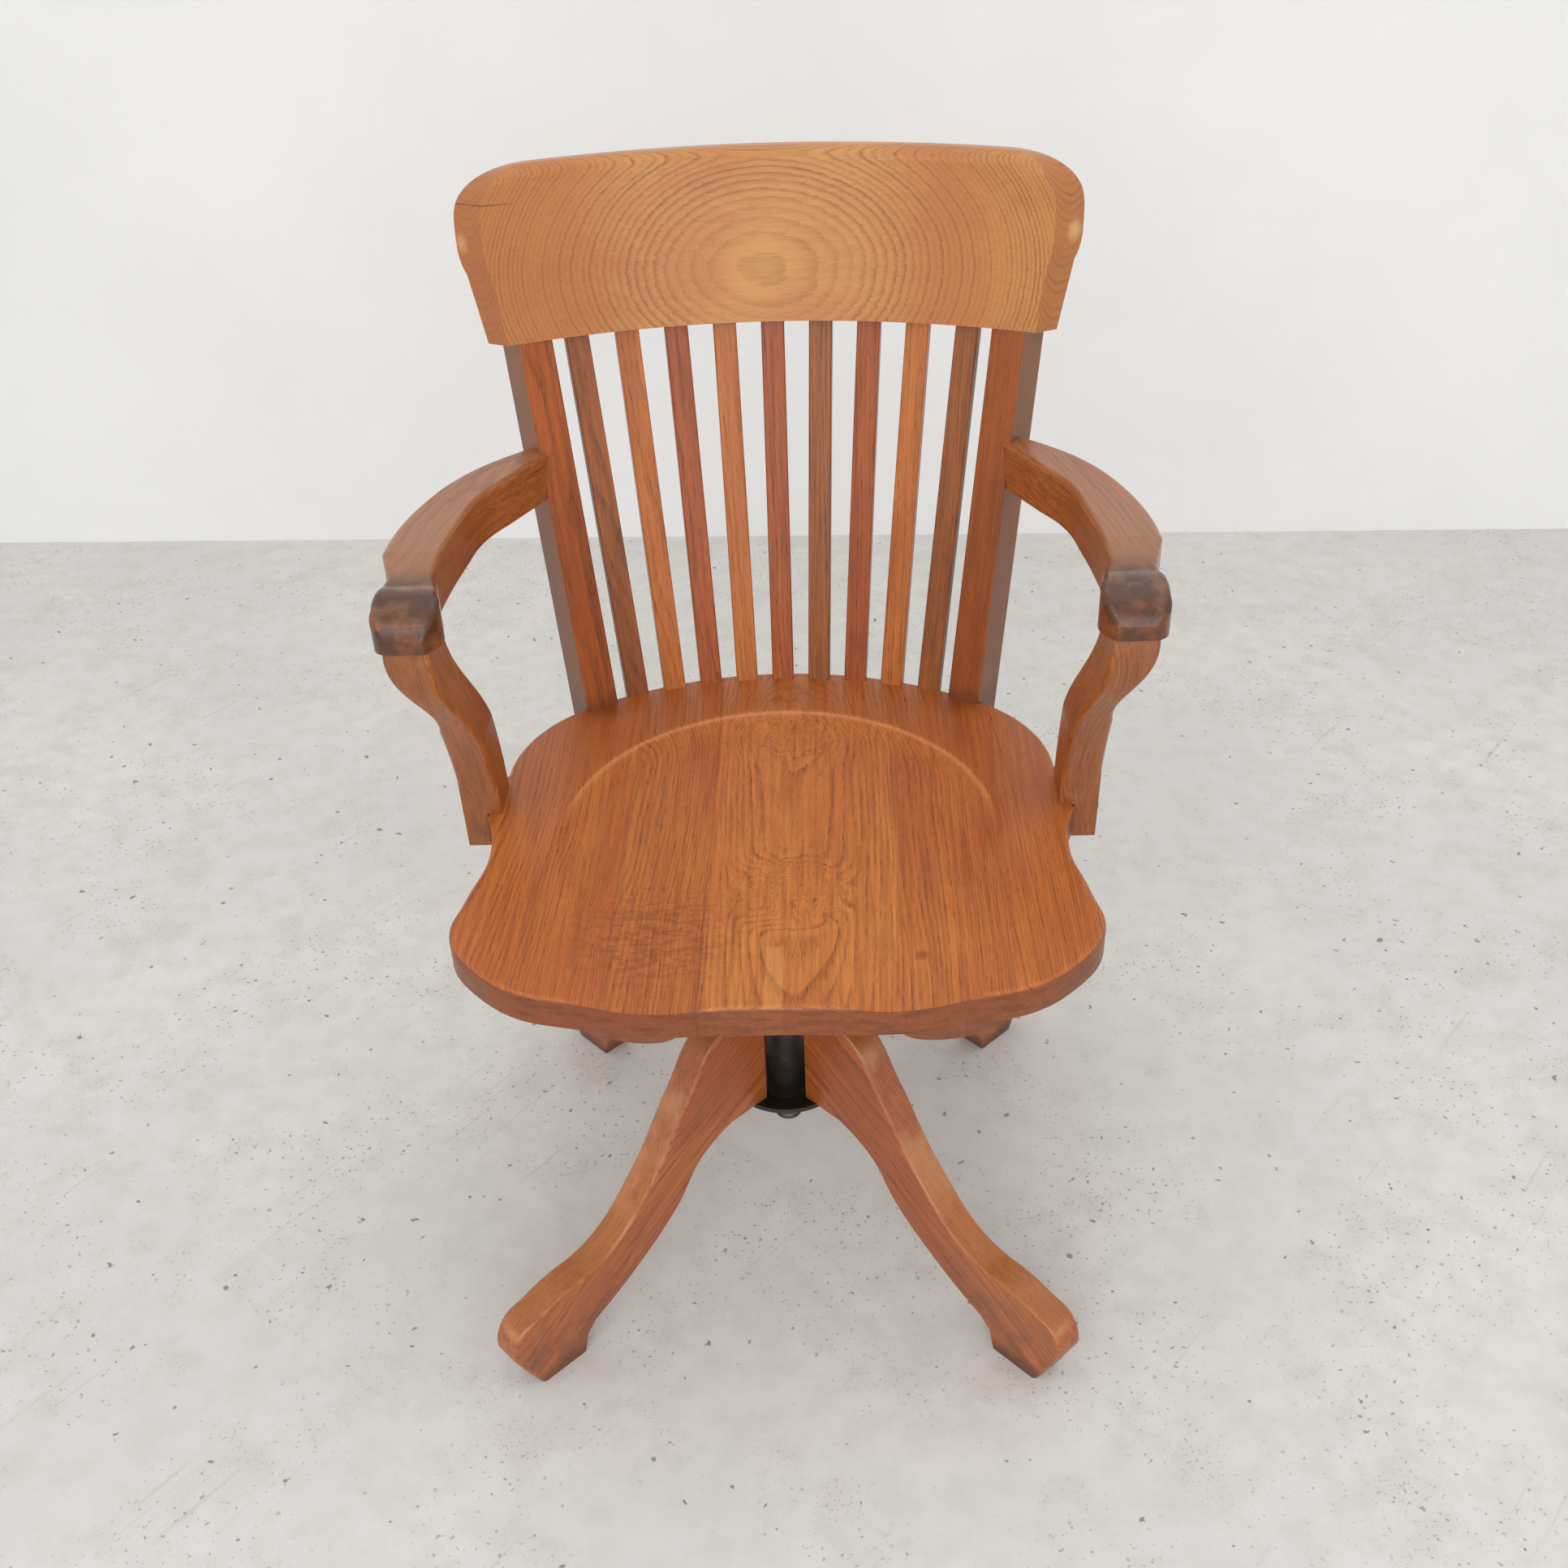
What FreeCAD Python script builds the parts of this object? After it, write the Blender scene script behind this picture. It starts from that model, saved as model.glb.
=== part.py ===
# Bankers swivel chair in oak with an iron tilt and height mechanism.
# Millimetres. +Z is up and the sitter faces -Y. The origin lies on the swivel axis at floor level.
import FreeCAD, Part
import Sketcher
import math
import os

from FreeCAD import Matrix, Placement, Rotation, Vector

os.makedirs("parts", exist_ok=True)
doc = FreeCAD.newDocument("bankers_swivel_chair")

X_AXIS = Vector(1, 0, 0)
Y_AXIS = Vector(0, 1, 0)
Z_AXIS = Vector(0, 0, 1)

# Driving dimensions
SIZES = {
    "seat_thickness": 30,
    "seat_half_width": 265,
    "seat_waist_half": 249,
    "seat_land_half": 260,
    "seat_side_half": 250,
    "seat_front": 203,
    "seat_back": 298,
    "seat_back_radius": 330,
    "seat_corner_radius": 140,
    "seat_edge_round": 4,
    "dish_radius": 210,
    "dish_centre": 18,
    "dish_depth": 9,
    "dish_cove": 45,
    "dish_tilt": 1.6,
    "hollow_radius": 400,
    "hollow_offset": 105,
    "hollow_depth": 5,
    "hollow_tilt": 1.6,
    "back_rake": 9,
    "crest_rise": 345,
    "crest_front": 338,
    "crest_face_radius": 506,
    "crest_thickness": 42,
    "crest_height": 150,
    "crest_half_width": 273,
    "crest_foot_half": 253,
    "crest_edge_round": 12,
    "crest_droop": 7,
    "crest_end_slant": 1,
    "crest_end_flat": 4,
    "slat_width": 21,
    "slat_thickness": 13,
    "slat_tenon": 12,
    "slat_pitch_seat": 36,
    "slat_pitch_crest": 44.3,
    "slat_row": 285,
    "slat_row_radius": 395,
    "slat_setback": 8,
    "slat_chamfer": 1,
    "post_width": 32,
    "post_depth": 44,
    "post_turn": 31.3,
    "post_foot_x": 174.5,
    "post_foot_y": 237.5,
    "post_head_x": 209,
    "post_head_y": 294,
    "post_drop": 31,
    "post_tenon_side": 20,
    "post_tenon_length": 26,
    "post_chamfer": 1.5,
    "arm_rise": 250,
    "arm_thickness": 42,
    "arm_round": 5,
    "support_front": 15,
    "support_foot_drop": 36,
    "support_round": 4,
    "leg_thickness": 30,
    "leg_top": 268,
    "leg_foot_reach": 342,
    "leg_round": 4,
    "leg_mitre_gap": 0.5,
    "tube_radius": 17.5,
    "spindle_radius": 12.5,
    "running_fit": 0.06,
    "fixed_fit": 0.02,
    "face_gap": 0.2,
    "dish_plate_radius": 57,
    "dish_plate_rise": 19,
    "dish_plate_wall": 4,
    "dish_plate_height": 150,
    "top_plate_radius": 46,
    "top_plate_wall": 5,
    "washer_wall": 2.5,
    "washer_radius": 24,
    "nut_height": 24.1,
    "nut_boss_radius": 22,
    "nut_rim_radius": 38,
    "nut_rim_raise": 3,
    "nut_rim_height": 12,
    "nut_scallop_radius": 6,
    "nut_scallops": 10,
    "spindle_end": 92,
    "pivot_rise": 27,
    "pivot_drop": 23,
    "pivot_radius": 8,
    "pivot_half_length": 56,
    "barrel_radius": 15,
    "barrel_half_length": 40,
    "yoke_boss_radius": 21,
    "yoke_boss_height": 20,
    "lug_wall": 7,
    "lug_half_width": 13,
    "lug_gap": 2,
    "rod_offset": 66,
    "rod_radius": 5,
    "rod_hole_gap": 0.5,
    "rod_drop": 77,
    "rod_end": 2,
    "rod_pin_radius": 4,
    "rod_eye_radius": 10,
    "rod_eye_hole": 5.8,
    "rod_eye_half_width": 6,
    "iron_wall": 5,
    "iron_arm_width": 38,
    "iron_reach_x": 150,
    "iron_reach_front": 140,
    "iron_reach_back": 170,
    "ear_wall": 7,
    "ear_half_depth": 18,
    "ear_gap": 0.5,
    "small_ear_wall": 4,
    "small_ear_half_depth": 9,
    "spring_wire_radius": 1.5,
    "spring_mean_radius": 9.5,
    "spring_turns": 3,
    "spring_washer_wall": 2,
    "spring_washer_radius": 14,
    "knob_radius": 16,
    "knob_height": 15,
    "knob_flute_radius": 3,
    "knob_flutes": 8,
    "leg_screw_circle": 36,
    "screw_radius": 2.5,
    "screw_head_radius": 5,
    "screw_head_height": 2.5,
    "screw_length": 22,
    "post_screw_length": 46,
    "support_screw_length": 42,
}

sheet = doc.addObject("Spreadsheet::Sheet", "sizes")
for row, (alias, number) in enumerate(SIZES.items(), start=1):
    sheet.set("A%d" % row, alias)
    sheet.set("B%d" % row, str(number))
    sheet.setAlias("B%d" % row, alias)
doc.recompute()


def size(alias):
    """Return the number that the sheet holds under an alias."""
    return float(sheet.get(alias))


# Places that follow from the driving dimensions
TUBE_FOOT = size("dish_plate_height") - size("dish_plate_rise")
TOP_PLATE_TOP = size("leg_top") + size("top_plate_wall")
WASHER_TOP = TOP_PLATE_TOP + size("washer_wall")
NUT_FOOT = WASHER_TOP + size("face_gap")
NUT_TOP = NUT_FOOT + size("nut_height")
YOKE_FOOT = NUT_TOP + size("face_gap")
YOKE_BOSS_TOP = YOKE_FOOT + size("yoke_boss_height")
PIVOT_HEIGHT = YOKE_BOSS_TOP + size("pivot_rise")
IRON_UNDER = PIVOT_HEIGHT + size("pivot_drop")
SEAT_UNDER = IRON_UNDER + size("iron_wall")
SEAT_TOP = SEAT_UNDER + size("seat_thickness")
ARM_TOP = SEAT_TOP + size("arm_rise")
ARM_UNDER = ARM_TOP - size("arm_thickness")
CREST_BASE = SEAT_TOP + size("crest_rise")
LUG_UNDER = PIVOT_HEIGHT - size("barrel_radius") - size("lug_gap") - size("lug_wall")
SPRING_TOP = LUG_UNDER - size("face_gap")
ROD_FOOT = PIVOT_HEIGHT - size("rod_drop")
KNOB_FOOT = ROD_FOOT + size("rod_end")
KNOB_TOP = KNOB_FOOT + size("knob_height")
SPRING_FOOT = KNOB_TOP + size("spring_washer_wall") + size("face_gap")
SLATS_EACH_SIDE = 4
CREST_RAISE = Placement(
    Vector(0, size("crest_front"), CREST_BASE), Rotation(X_AXIS, -size("back_rake")))


# Drawing helpers
def plane_of(body, role):
    """Return the body's own origin plane of that role."""
    for feature in body.Origin.OriginFeatures:
        if feature.Role == role:
            return feature
    raise ValueError(role)


def new_body(label):
    body = doc.addObject("PartDesign::Body", label)
    body.Label = label
    return body


def new_sketch(body, role, offset=0.0):
    """Add a sketch on an origin plane, moved along that plane's normal."""
    sketch = body.newObject("Sketcher::SketchObject", body.Name + "_sketch")
    sketch.AttachmentSupport = [(plane_of(body, role), "")]
    sketch.MapMode = "FlatFace"
    sketch.AttachmentOffset = Placement(Vector(0, 0, offset), Rotation())
    return sketch


def flat(point):
    return Vector(point[0], point[1], 0)


def straight(start, end):
    return Part.LineSegment(flat(start), flat(end))


def bow(start, middle, end):
    """Return the arc through three points."""
    return Part.Arc(flat(start), flat(middle), flat(end))


def heading(before, here, after):
    """Return the tangent at a point of the circle through it and its two neighbours."""
    first = here - before
    second = after - here
    return (first * (second.Length / first.Length) + second * (first.Length / second.Length)).normalize()


def arc_along(start, tangent, end):
    """Return the arc that leaves a point along a tangent and ends at another point."""
    chord = end - start
    along = Vector(chord).normalize()
    sideways = tangent - along * tangent.dot(along)
    if sideways.Length < 1e-4:
        return Part.LineSegment(start, end)
    bulge = chord.Length / 2 * math.tan(math.asin(min(1.0, sideways.Length)) / 2)
    return Part.Arc(start, (start + end) / 2 + sideways.normalize() * bulge, end)


def two_arcs(start, leaving, end, arriving):
    """Return the two arcs that join two points with given tangents and meet smoothly."""
    chord = end - start
    both = leaving + arriving
    turned = 2 * (1 - leaving.dot(arriving))
    reach = chord.dot(both)
    if turned < 1e-9:
        step = chord.dot(chord) / (2 * reach)
    else:
        step = (math.sqrt(reach ** 2 + turned * chord.dot(chord)) - reach) / turned
    middle = (start + end) / 2 + (leaving - arriving) * (step / 2)
    across = (end - arriving * step - middle).normalize()
    return [arc_along(start, leaving, middle), arc_along(middle, across, end)]


def curve(points):
    """Return one smooth curve through the points."""
    spline = Part.BSplineCurve()
    spline.interpolate([flat(point) for point in points])
    return [spline]


def arc_chain(points):
    """Return a chain of tangent arcs through the points."""
    places = [flat(point) for point in points]
    inner = [heading(*places[n - 1:n + 2]) for n in range(1, len(places) - 1)]
    first_chord = (places[1] - places[0]).normalize()
    last_chord = (places[-1] - places[-2]).normalize()
    first = first_chord * 2 * first_chord.dot(inner[0]) - inner[0]
    last = last_chord * 2 * last_chord.dot(inner[-1]) - inner[-1]
    headings = [first] + inner + [last]
    chain = []
    for n in range(len(places) - 1):
        chain += two_arcs(places[n], headings[n], places[n + 1], headings[n + 1])
    return chain


def polygon(points):
    corners = list(points) + [points[0]]
    return [straight(a, b) for a, b in zip(corners, corners[1:])]


def rectangle(sketch, width, depth, centre=(0.0, 0.0)):
    """Draw a rectangle whose width and depth follow two cells of the sheet."""
    half_width = size(width) / 2
    half_depth = size(depth) / 2
    x, y = centre
    corners = [(x - half_width, y - half_depth), (x + half_width, y - half_depth),
               (x + half_width, y + half_depth), (x - half_width, y + half_depth)]
    sketch.addGeometry(polygon(corners), False)
    for index in range(4):
        sketch.addConstraint(Sketcher.Constraint("Coincident", index, 2, (index + 1) % 4, 1))
    for index, direction in enumerate(("Horizontal", "Vertical", "Horizontal", "Vertical")):
        sketch.addConstraint(Sketcher.Constraint(direction, index))
    wide = sketch.addConstraint(Sketcher.Constraint("DistanceX", 0, 1, 0, 2, size(width)))
    sketch.setExpression("Constraints[%d]" % wide, "sizes." + width)
    deep = sketch.addConstraint(Sketcher.Constraint("DistanceY", 1, 1, 1, 2, size(depth)))
    sketch.setExpression("Constraints[%d]" % deep, "sizes." + depth)
    if centre == (0.0, 0.0):
        sketch.addConstraint(Sketcher.Constraint("Symmetric", 0, 1, 1, 2, -1, 1))


def circle(sketch, radius, centre=(0.0, 0.0)):
    """Draw a circle whose radius is a cell's alias or an expression on cells."""
    expression, number = radius
    index = sketch.addGeometry(Part.Circle(flat(centre), Z_AXIS, number), False)
    tie = sketch.addConstraint(Sketcher.Constraint("Radius", index, number))
    sketch.setExpression("Constraints[%d]" % tie, expression)
    if centre == (0.0, 0.0):
        sketch.addConstraint(Sketcher.Constraint("Coincident", index, 3, -1, 1))


def sized(alias, extra=None):
    """Return an expression and its number, for one cell or the sum of two."""
    if extra is None:
        return "sizes." + alias, size(alias)
    return "sizes.%s + sizes.%s" % (alias, extra), size(alias) + size(extra)


def pad(body, sketch, length, midplane=False, reverse=False):
    """Pad a sketch by a number or by an expression on the sheet's cells."""
    feature = body.newObject("PartDesign::Pad", body.Name + "_pad")
    feature.Profile = sketch
    feature.Midplane = midplane
    feature.Reversed = reverse
    if isinstance(length, str):
        feature.setExpression("Length", length)
    else:
        feature.Length = length
    sketch.Visibility = False
    return feature


def pocket_through(body, sketch):
    """Cut a sketch right through the body, both ways."""
    feature = body.newObject("PartDesign::Pocket", body.Name + "_pocket")
    feature.Profile = sketch
    feature.Type = "ThroughAll"
    feature.Midplane = True
    return feature


def turn(body, sketch):
    """Revolve a sketch of the XZ plane about the vertical axis."""
    feature = body.newObject("PartDesign::Revolution", body.Name + "_turn")
    feature.Profile = sketch
    feature.ReferenceAxis = (sketch, ["V_Axis"])
    feature.Angle = 360
    return feature


def round_edges(body, base, chosen, radius):
    """Fillet the chosen edges of the body's last feature."""
    doc.recompute()
    names = ["Edge%d" % (index + 1) for index, edge in enumerate(base.Shape.Edges) if chosen(edge)]
    feature = body.newObject("PartDesign::Fillet", body.Name + "_round")
    feature.Base = (base, names)
    feature.setExpression("Radius", "sizes." + radius)
    return feature


def chamfer_edges(body, base, chosen, width):
    doc.recompute()
    names = ["Edge%d" % (index + 1) for index, edge in enumerate(base.Shape.Edges) if chosen(edge)]
    feature = body.newObject("PartDesign::Chamfer", body.Name + "_chamfer")
    feature.Base = (base, names)
    feature.setExpression("Size", "sizes." + width)
    return feature


def combine(kind, label, base, tool):
    """Join two objects by Part::Cut, Part::Fuse or Part::Common."""
    result = doc.addObject(kind, label)
    result.Label = label
    result.Base = base
    result.Tool = tool
    doc.recompute()
    return result


def group(label, members):
    result = doc.addObject("Part::Compound", label)
    result.Label = label
    result.Links = members
    doc.recompute()
    return result


def soften(label, base, chosen, radius):
    """Fillet the chosen edges of an object with Part::Fillet."""
    result = doc.addObject("Part::Fillet", label)
    result.Label = label
    result.Base = base
    result.Edges = [(index + 1, size(radius), size(radius))
                    for index, edge in enumerate(base.Shape.Edges) if chosen(edge)]
    doc.recompute()
    return result


def standing_frame(foot, head, across):
    """Return the placement with Z from foot to head and X nearest to a direction."""
    up = (head - foot).normalize()
    side = (across - up * across.dot(up)).normalize()
    back = up.cross(side)
    matrix = Matrix(side.x, back.x, up.x, foot.x, side.y, back.y, up.y, foot.y,
                    side.z, back.z, up.z, foot.z, 0, 0, 0, 1)
    return Placement(matrix)


def mirrored(points, side):
    return [(side * x, y) for x, y in points]


def all_at_height(edge, height):
    return all(abs(vertex.Z - height) < 0.01 for vertex in edge.Vertexes)


# The seat's plan outline, from the middle of the front edge round to the land of the arm support
def seat_outline():
    half = size("seat_half_width")
    front = -size("seat_front")
    waist = size("seat_waist_half")
    land = size("seat_land_half")
    side = size("seat_side_half")
    lobe = [(0, front), (130, front + 4), (225, front + 37), (half, front + 96), (half - 6, front + 142),
            (waist, front + 198), (waist + 4, front + 238), (land, front + 258)]
    back = size("seat_back")
    wide = size("seat_back_radius")
    tight = size("seat_corner_radius")
    wide_centre = back - wide
    tight_x = side - tight
    tight_y = wide_centre + math.sqrt((wide - tight) ** 2 - tight_x ** 2)
    join_angle = math.atan2(tight_y - wide_centre, tight_x)
    join = (wide * math.cos(join_angle), wide_centre + wide * math.sin(join_angle))
    half_angle = join_angle / 2
    corner_middle = (tight_x + tight * math.cos(half_angle), tight_y + tight * math.sin(half_angle))
    land_end = (land, front + 315)
    right = [straight(lobe[-1], land_end), straight(land_end, (side, tight_y)),
             bow((side, tight_y), corner_middle, join), bow(join, (0, back), (-join[0], join[1]))]
    left = [straight((-land, lobe[-1][1]), (-land, land_end[1])), straight((-land, land_end[1]), (-side, tight_y)),
            bow((-side, tight_y), (-corner_middle[0], corner_middle[1]), (-join[0], join[1]))]
    front_edge = list(reversed(mirrored(lobe, -1))) + lobe[1:]
    return arc_chain(front_edge) + right + left


def seat_blank():
    """The board before it is scooped and mortised."""
    body = new_body("seat_blank")
    sketch = new_sketch(body, "XY_Plane", SEAT_UNDER)
    sketch.addGeometry(seat_outline(), False)
    pad(body, sketch, "sizes.seat_thickness")
    doc.recompute()
    return body


def dish_tool():
    """A shallow bowl, tilted so that it is deepest at the back and fades out at the front."""
    body = new_body("dish_tool")
    radius = size("dish_radius")
    depth = size("dish_depth")
    cove_start = radius - size("dish_cove")
    sketch = new_sketch(body, "XZ_Plane")
    sketch.addGeometry([
        straight((0, 30), (0, -depth)),
        straight((0, -depth), (cove_start, -depth)),
        bow((cove_start, -depth), (radius - size("dish_cove") * 0.42, -depth * 0.72), (radius, 0)),
        straight((radius, 0), (radius, 30)),
        straight((radius, 30), (0, 30))], False)
    turn(body, sketch)
    tilt = math.radians(size("dish_tilt"))
    body.Placement = Placement(Vector(0, size("dish_centre"), SEAT_TOP + radius * math.sin(tilt)),
                               Rotation(X_AXIS, -size("dish_tilt")))
    return body


def hollow_tool(label, side):
    """A long cylinder that hollows the front edge for one thigh."""
    tool = doc.addObject("Part::Cylinder", label)
    tool.setExpression("Radius", "sizes.hollow_radius")
    tool.Height = 320
    rise = size("hollow_radius") - size("hollow_depth")
    tool.Placement = Placement(Vector(side * size("hollow_offset"), -size("seat_front") - 20, SEAT_TOP + rise),
                               Rotation(X_AXIS, size("hollow_tilt") - 90))
    return tool


# Slats
def slat_ends(index):
    """Return the middle of a slat at the seat and at the crest rail."""
    foot_x = index * size("slat_pitch_seat")
    radius = size("slat_row_radius")
    sag = radius - math.sqrt(radius ** 2 - foot_x ** 2)
    foot = Vector(foot_x, size("slat_row") - sag + size("slat_thickness") / 2, SEAT_TOP)
    head_x = index * size("slat_pitch_crest")
    face = size("crest_face_radius")
    sag = face - math.sqrt(face ** 2 - head_x ** 2)
    behind = size("slat_setback") + size("slat_thickness") / 2 - sag
    head = CREST_RAISE.multVec(Vector(head_x, behind, 0))
    return foot, head


def make_slat(index):
    label = "slat_%d" % (index + SLATS_EACH_SIDE + 1)
    foot, head = slat_ends(index)
    body = new_body(label)
    sketch = new_sketch(body, "XY_Plane")
    rectangle(sketch, "slat_width", "slat_thickness")
    tenon = size("slat_tenon")
    block = pad(body, sketch, (head - foot).Length + 2 * tenon)
    chamfer_edges(body, block, lambda edge: edge.Length > 100, "slat_chamfer")
    across = Vector(1, -head.x / size("crest_face_radius"), 0)
    up = (head - foot).normalize()
    body.Placement = standing_frame(foot - up * tenon, head, across)
    return body


# Back posts
def post_ends(side):
    foot = Vector(side * size("post_foot_x"), size("post_foot_y"), SEAT_TOP)
    head = Vector(side * size("post_head_x"), size("post_head_y"), CREST_BASE)
    turned = math.radians(size("post_turn"))
    across = Vector(math.cos(turned), -side * math.sin(turned), 0)
    inward = Vector(side * math.sin(turned), math.cos(turned), 0)
    middle = inward * (size("post_depth") / 2)
    return foot + middle, head + middle, across


def post_blank(name, side):
    """The square post, long enough to be trimmed by the crest rail's underside."""
    foot, head, across = post_ends(side)
    up = (head - foot).normalize()
    start = foot - up * (size("post_drop") / up.z)
    body = new_body("post_blank_" + name)
    sketch = new_sketch(body, "XY_Plane")
    rectangle(sketch, "post_width", "post_depth")
    block = pad(body, sketch, (head - start).Length + 20)
    chamfer_edges(body, block, lambda edge: edge.Length > 100, "post_chamfer")
    body.Placement = standing_frame(start, head, across)
    return body


def post_tenon(name, side):
    foot, head, across = post_ends(side)
    up = (head - foot).normalize()
    body = new_body("post_tenon_" + name)
    sketch = new_sketch(body, "XY_Plane")
    rectangle(sketch, "post_tenon_side", "post_tenon_side")
    pad(body, sketch, "sizes.post_tenon_length + 12")
    body.Placement = standing_frame(head - up * 12, head, across)
    return body


def crest_space():
    """Everything above the crest rail's underside."""
    body = new_body("crest_space")
    wide = size("crest_half_width") + 60
    drop = size("crest_droop") * (wide / size("crest_foot_half")) ** 2
    sketch = new_sketch(body, "XZ_Plane")
    sketch.addGeometry([bow((-wide, -drop), (0, 0), (wide, -drop)), straight((wide, -drop), (wide, 200)),
                        straight((wide, 200), (-wide, 200)), straight((-wide, 200), (-wide, -drop))], False)
    pad(body, sketch, 300, midplane=True)
    body.Placement = CREST_RAISE
    return body


# Crest rail: a curved plank in plan, sawn to its elevation outline, then rounded
def crest_plan():
    body = new_body("crest_plan")
    face = size("crest_face_radius")
    outer = face + size("crest_thickness")
    reach = size("crest_half_width") + 20
    front_sag = face - math.sqrt(face ** 2 - reach ** 2)
    end_angle = math.asin(reach / face)
    back_x = outer * math.sin(end_angle)
    back_y = outer * math.cos(end_angle) - face
    sketch = new_sketch(body, "XY_Plane", -20)
    sketch.addGeometry([
        bow((-reach, -front_sag), (0, 0), (reach, -front_sag)),
        straight((reach, -front_sag), (back_x, back_y)),
        bow((back_x, back_y), (0, outer - face), (-back_x, back_y)),
        straight((-back_x, back_y), (-reach, -front_sag))], False)
    pad(body, sketch, "sizes.crest_height + 40")
    body.Placement = CREST_RAISE
    return body


def crest_end_curve():
    """The crest rail's end in elevation, from its widest slope round to the top."""
    half = size("crest_half_width")
    droop = size("crest_droop")
    low = size("crest_height") - droop
    return [(half - 7, 60 - droop), (half - 1, 78 - droop), (half, 95 - droop), (half - 3, low - 30),
            (half - 14, low - 16), (half - 33, low - 5), (half - 68, low + 1.5)]


def crest_elevation():
    body = new_body("crest_elevation")
    foot = size("crest_foot_half")
    top = size("crest_height")
    droop = size("crest_droop")
    end = crest_end_curve()
    sketch = new_sketch(body, "XZ_Plane")
    for side in (1, -1):
        slope = mirrored([(foot, -droop), end[0]], side)
        sketch.addGeometry([straight(*slope)] + curve(mirrored(end, side)), False)
    sketch.addGeometry([bow((-foot, -droop), (0, 0), (foot, -droop)),
                        bow((-end[-1][0], end[-1][1]), (0, top), end[-1])], False)
    pad(body, sketch, 400, midplane=True)
    body.Placement = CREST_RAISE
    return body


def crest_end_cut(name, side):
    """The slanting cut that leaves an end-grain face at one end, turned towards the sitter."""
    body = new_body("crest_end_cut_" + name)
    foot = size("crest_foot_half")
    droop = size("crest_droop")
    end = crest_end_curve()
    slope = (end[0][0] - foot) / (end[0][1] + droop)
    low_point = (foot - 60 * slope, -60 - droop)
    far = -foot - 150
    outer = size("crest_face_radius") + size("crest_thickness")
    back_edge = math.sqrt(outer ** 2 - size("crest_half_width") ** 2) - size("crest_face_radius")
    reach = 200
    sketch = new_sketch(body, "XZ_Plane", reach + size("crest_end_flat") - back_edge)
    corners = [low_point] + end + [(far, 260), (far, low_point[1])]
    outline = mirrored([(x - reach * size("crest_end_slant"), z) for x, z in corners], side)
    sketch.addGeometry([straight(outline[0], outline[1])] + curve(outline[1:-2]) + [
        straight(outline[-3], outline[-2]), straight(outline[-2], outline[-1]),
        straight(outline[-1], outline[0])], False)
    block = pad(body, sketch, 2 * reach * math.hypot(1, size("crest_end_slant")), reverse=True)
    block.UseCustomVector = True
    block.AlongSketchNormal = False
    block.Direction = Vector(-side * size("crest_end_slant"), -1, 0)
    body.Placement = CREST_RAISE
    return body


def make_crest(tenons, slats):
    sawn = combine("Part::Common", "crest_sawn", crest_plan(), crest_elevation())
    back_to_local = CREST_RAISE.inverse()

    def on_rounded_edge(edge):
        heights = [back_to_local.multVec(vertex.Point).z for vertex in edge.Vertexes]
        middle = back_to_local.multVec(edge.valueAt((edge.FirstParameter + edge.LastParameter) / 2))
        return max(heights + [middle.z]) > 1 and not crossing_edge(edge)

    def crossing_edge(edge):
        return abs(edge.Length - size("crest_thickness")) < 12

    rounded = soften("crest_rounded", sawn, on_rounded_edge, "crest_edge_round")
    half_cut = combine("Part::Common", "crest_right_end", rounded, crest_end_cut("right", 1))
    ends_cut = combine("Part::Common", "crest_both_ends", half_cut, crest_end_cut("left", -1))
    return combine("Part::Cut", "crest_rail", ends_cut, group("crest_mortises", tenons + slats))


# Arms, drawn as the right one in plan and in side view
ARM_INNER = [(230, 228), (254, 180), (263, 127), (270, 45)]
ARM_OUTER = [(318, 80), (307, 160), (278, 231), (225, 290)]


def arm_plan(name, side):
    body = new_body("arm_plan_" + name)
    inner = mirrored([(200, 285)] + ARM_INNER, side)
    outer = mirrored(ARM_OUTER + [(208, 304)], side)
    nose_inner = mirrored([(270, 45), (265, 34), (262, 18)], side)
    nose_front = mirrored([(262, 18), (261, -8), (270, -19)], side)
    nose_corner = mirrored([(300, -19), (309, -14), (312, 0)], side)
    nose_outer = mirrored([(312, 0), (311, 22), (307, 42)], side)
    step = mirrored([(307, 42), (318, 80)], side)
    sketch = new_sketch(body, "XY_Plane", ARM_UNDER)
    sketch.addGeometry(arc_chain(inner) + [
        bow(*nose_inner), bow(*nose_front), straight(nose_front[-1], nose_corner[0]),
        bow(*nose_corner), bow(*nose_outer), straight(*step)] + arc_chain(outer) + [
        straight(outer[-1], inner[0])], False)
    pad(body, sketch, "sizes.arm_thickness + 20")
    return body


def arm_side(name, side):
    """The arm's side view: a level top, a dip and the rolled nose."""
    body = new_body("arm_side_" + name)
    top = ARM_TOP
    sketch = new_sketch(body, "YZ_Plane", side * 260)
    sketch.addGeometry([
        straight((-19, ARM_UNDER), (330, ARM_UNDER)), straight((330, ARM_UNDER), (330, top)),
        straight((330, top), (78, top)), bow((78, top), (52, top - 3), (30, top - 6)),
        bow((30, top - 6), (4, top - 6), (-15, top - 20)),
        bow((-15, top - 20), (-19, top - 30), (-19, ARM_UNDER))], False)
    pad(body, sketch, 240, midplane=True)
    return body


def make_arm(name, side, post):
    sawn = combine("Part::Common", "arm_sawn_" + name, arm_plan(name, side), arm_side(name, side))
    nose = sawn.Shape.BoundBox.YMin

    def on_top_outline(edge):
        box = edge.BoundBox
        runs_across = box.YLength < 0.01 and box.YMin > nose + 1
        return box.ZMin > ARM_UNDER + 8 and not runs_across

    rounded = soften("arm_rounded_" + name, sawn, on_top_outline, "arm_round")
    return combine("Part::Cut", "arm_" + name, rounded, post)


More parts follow.
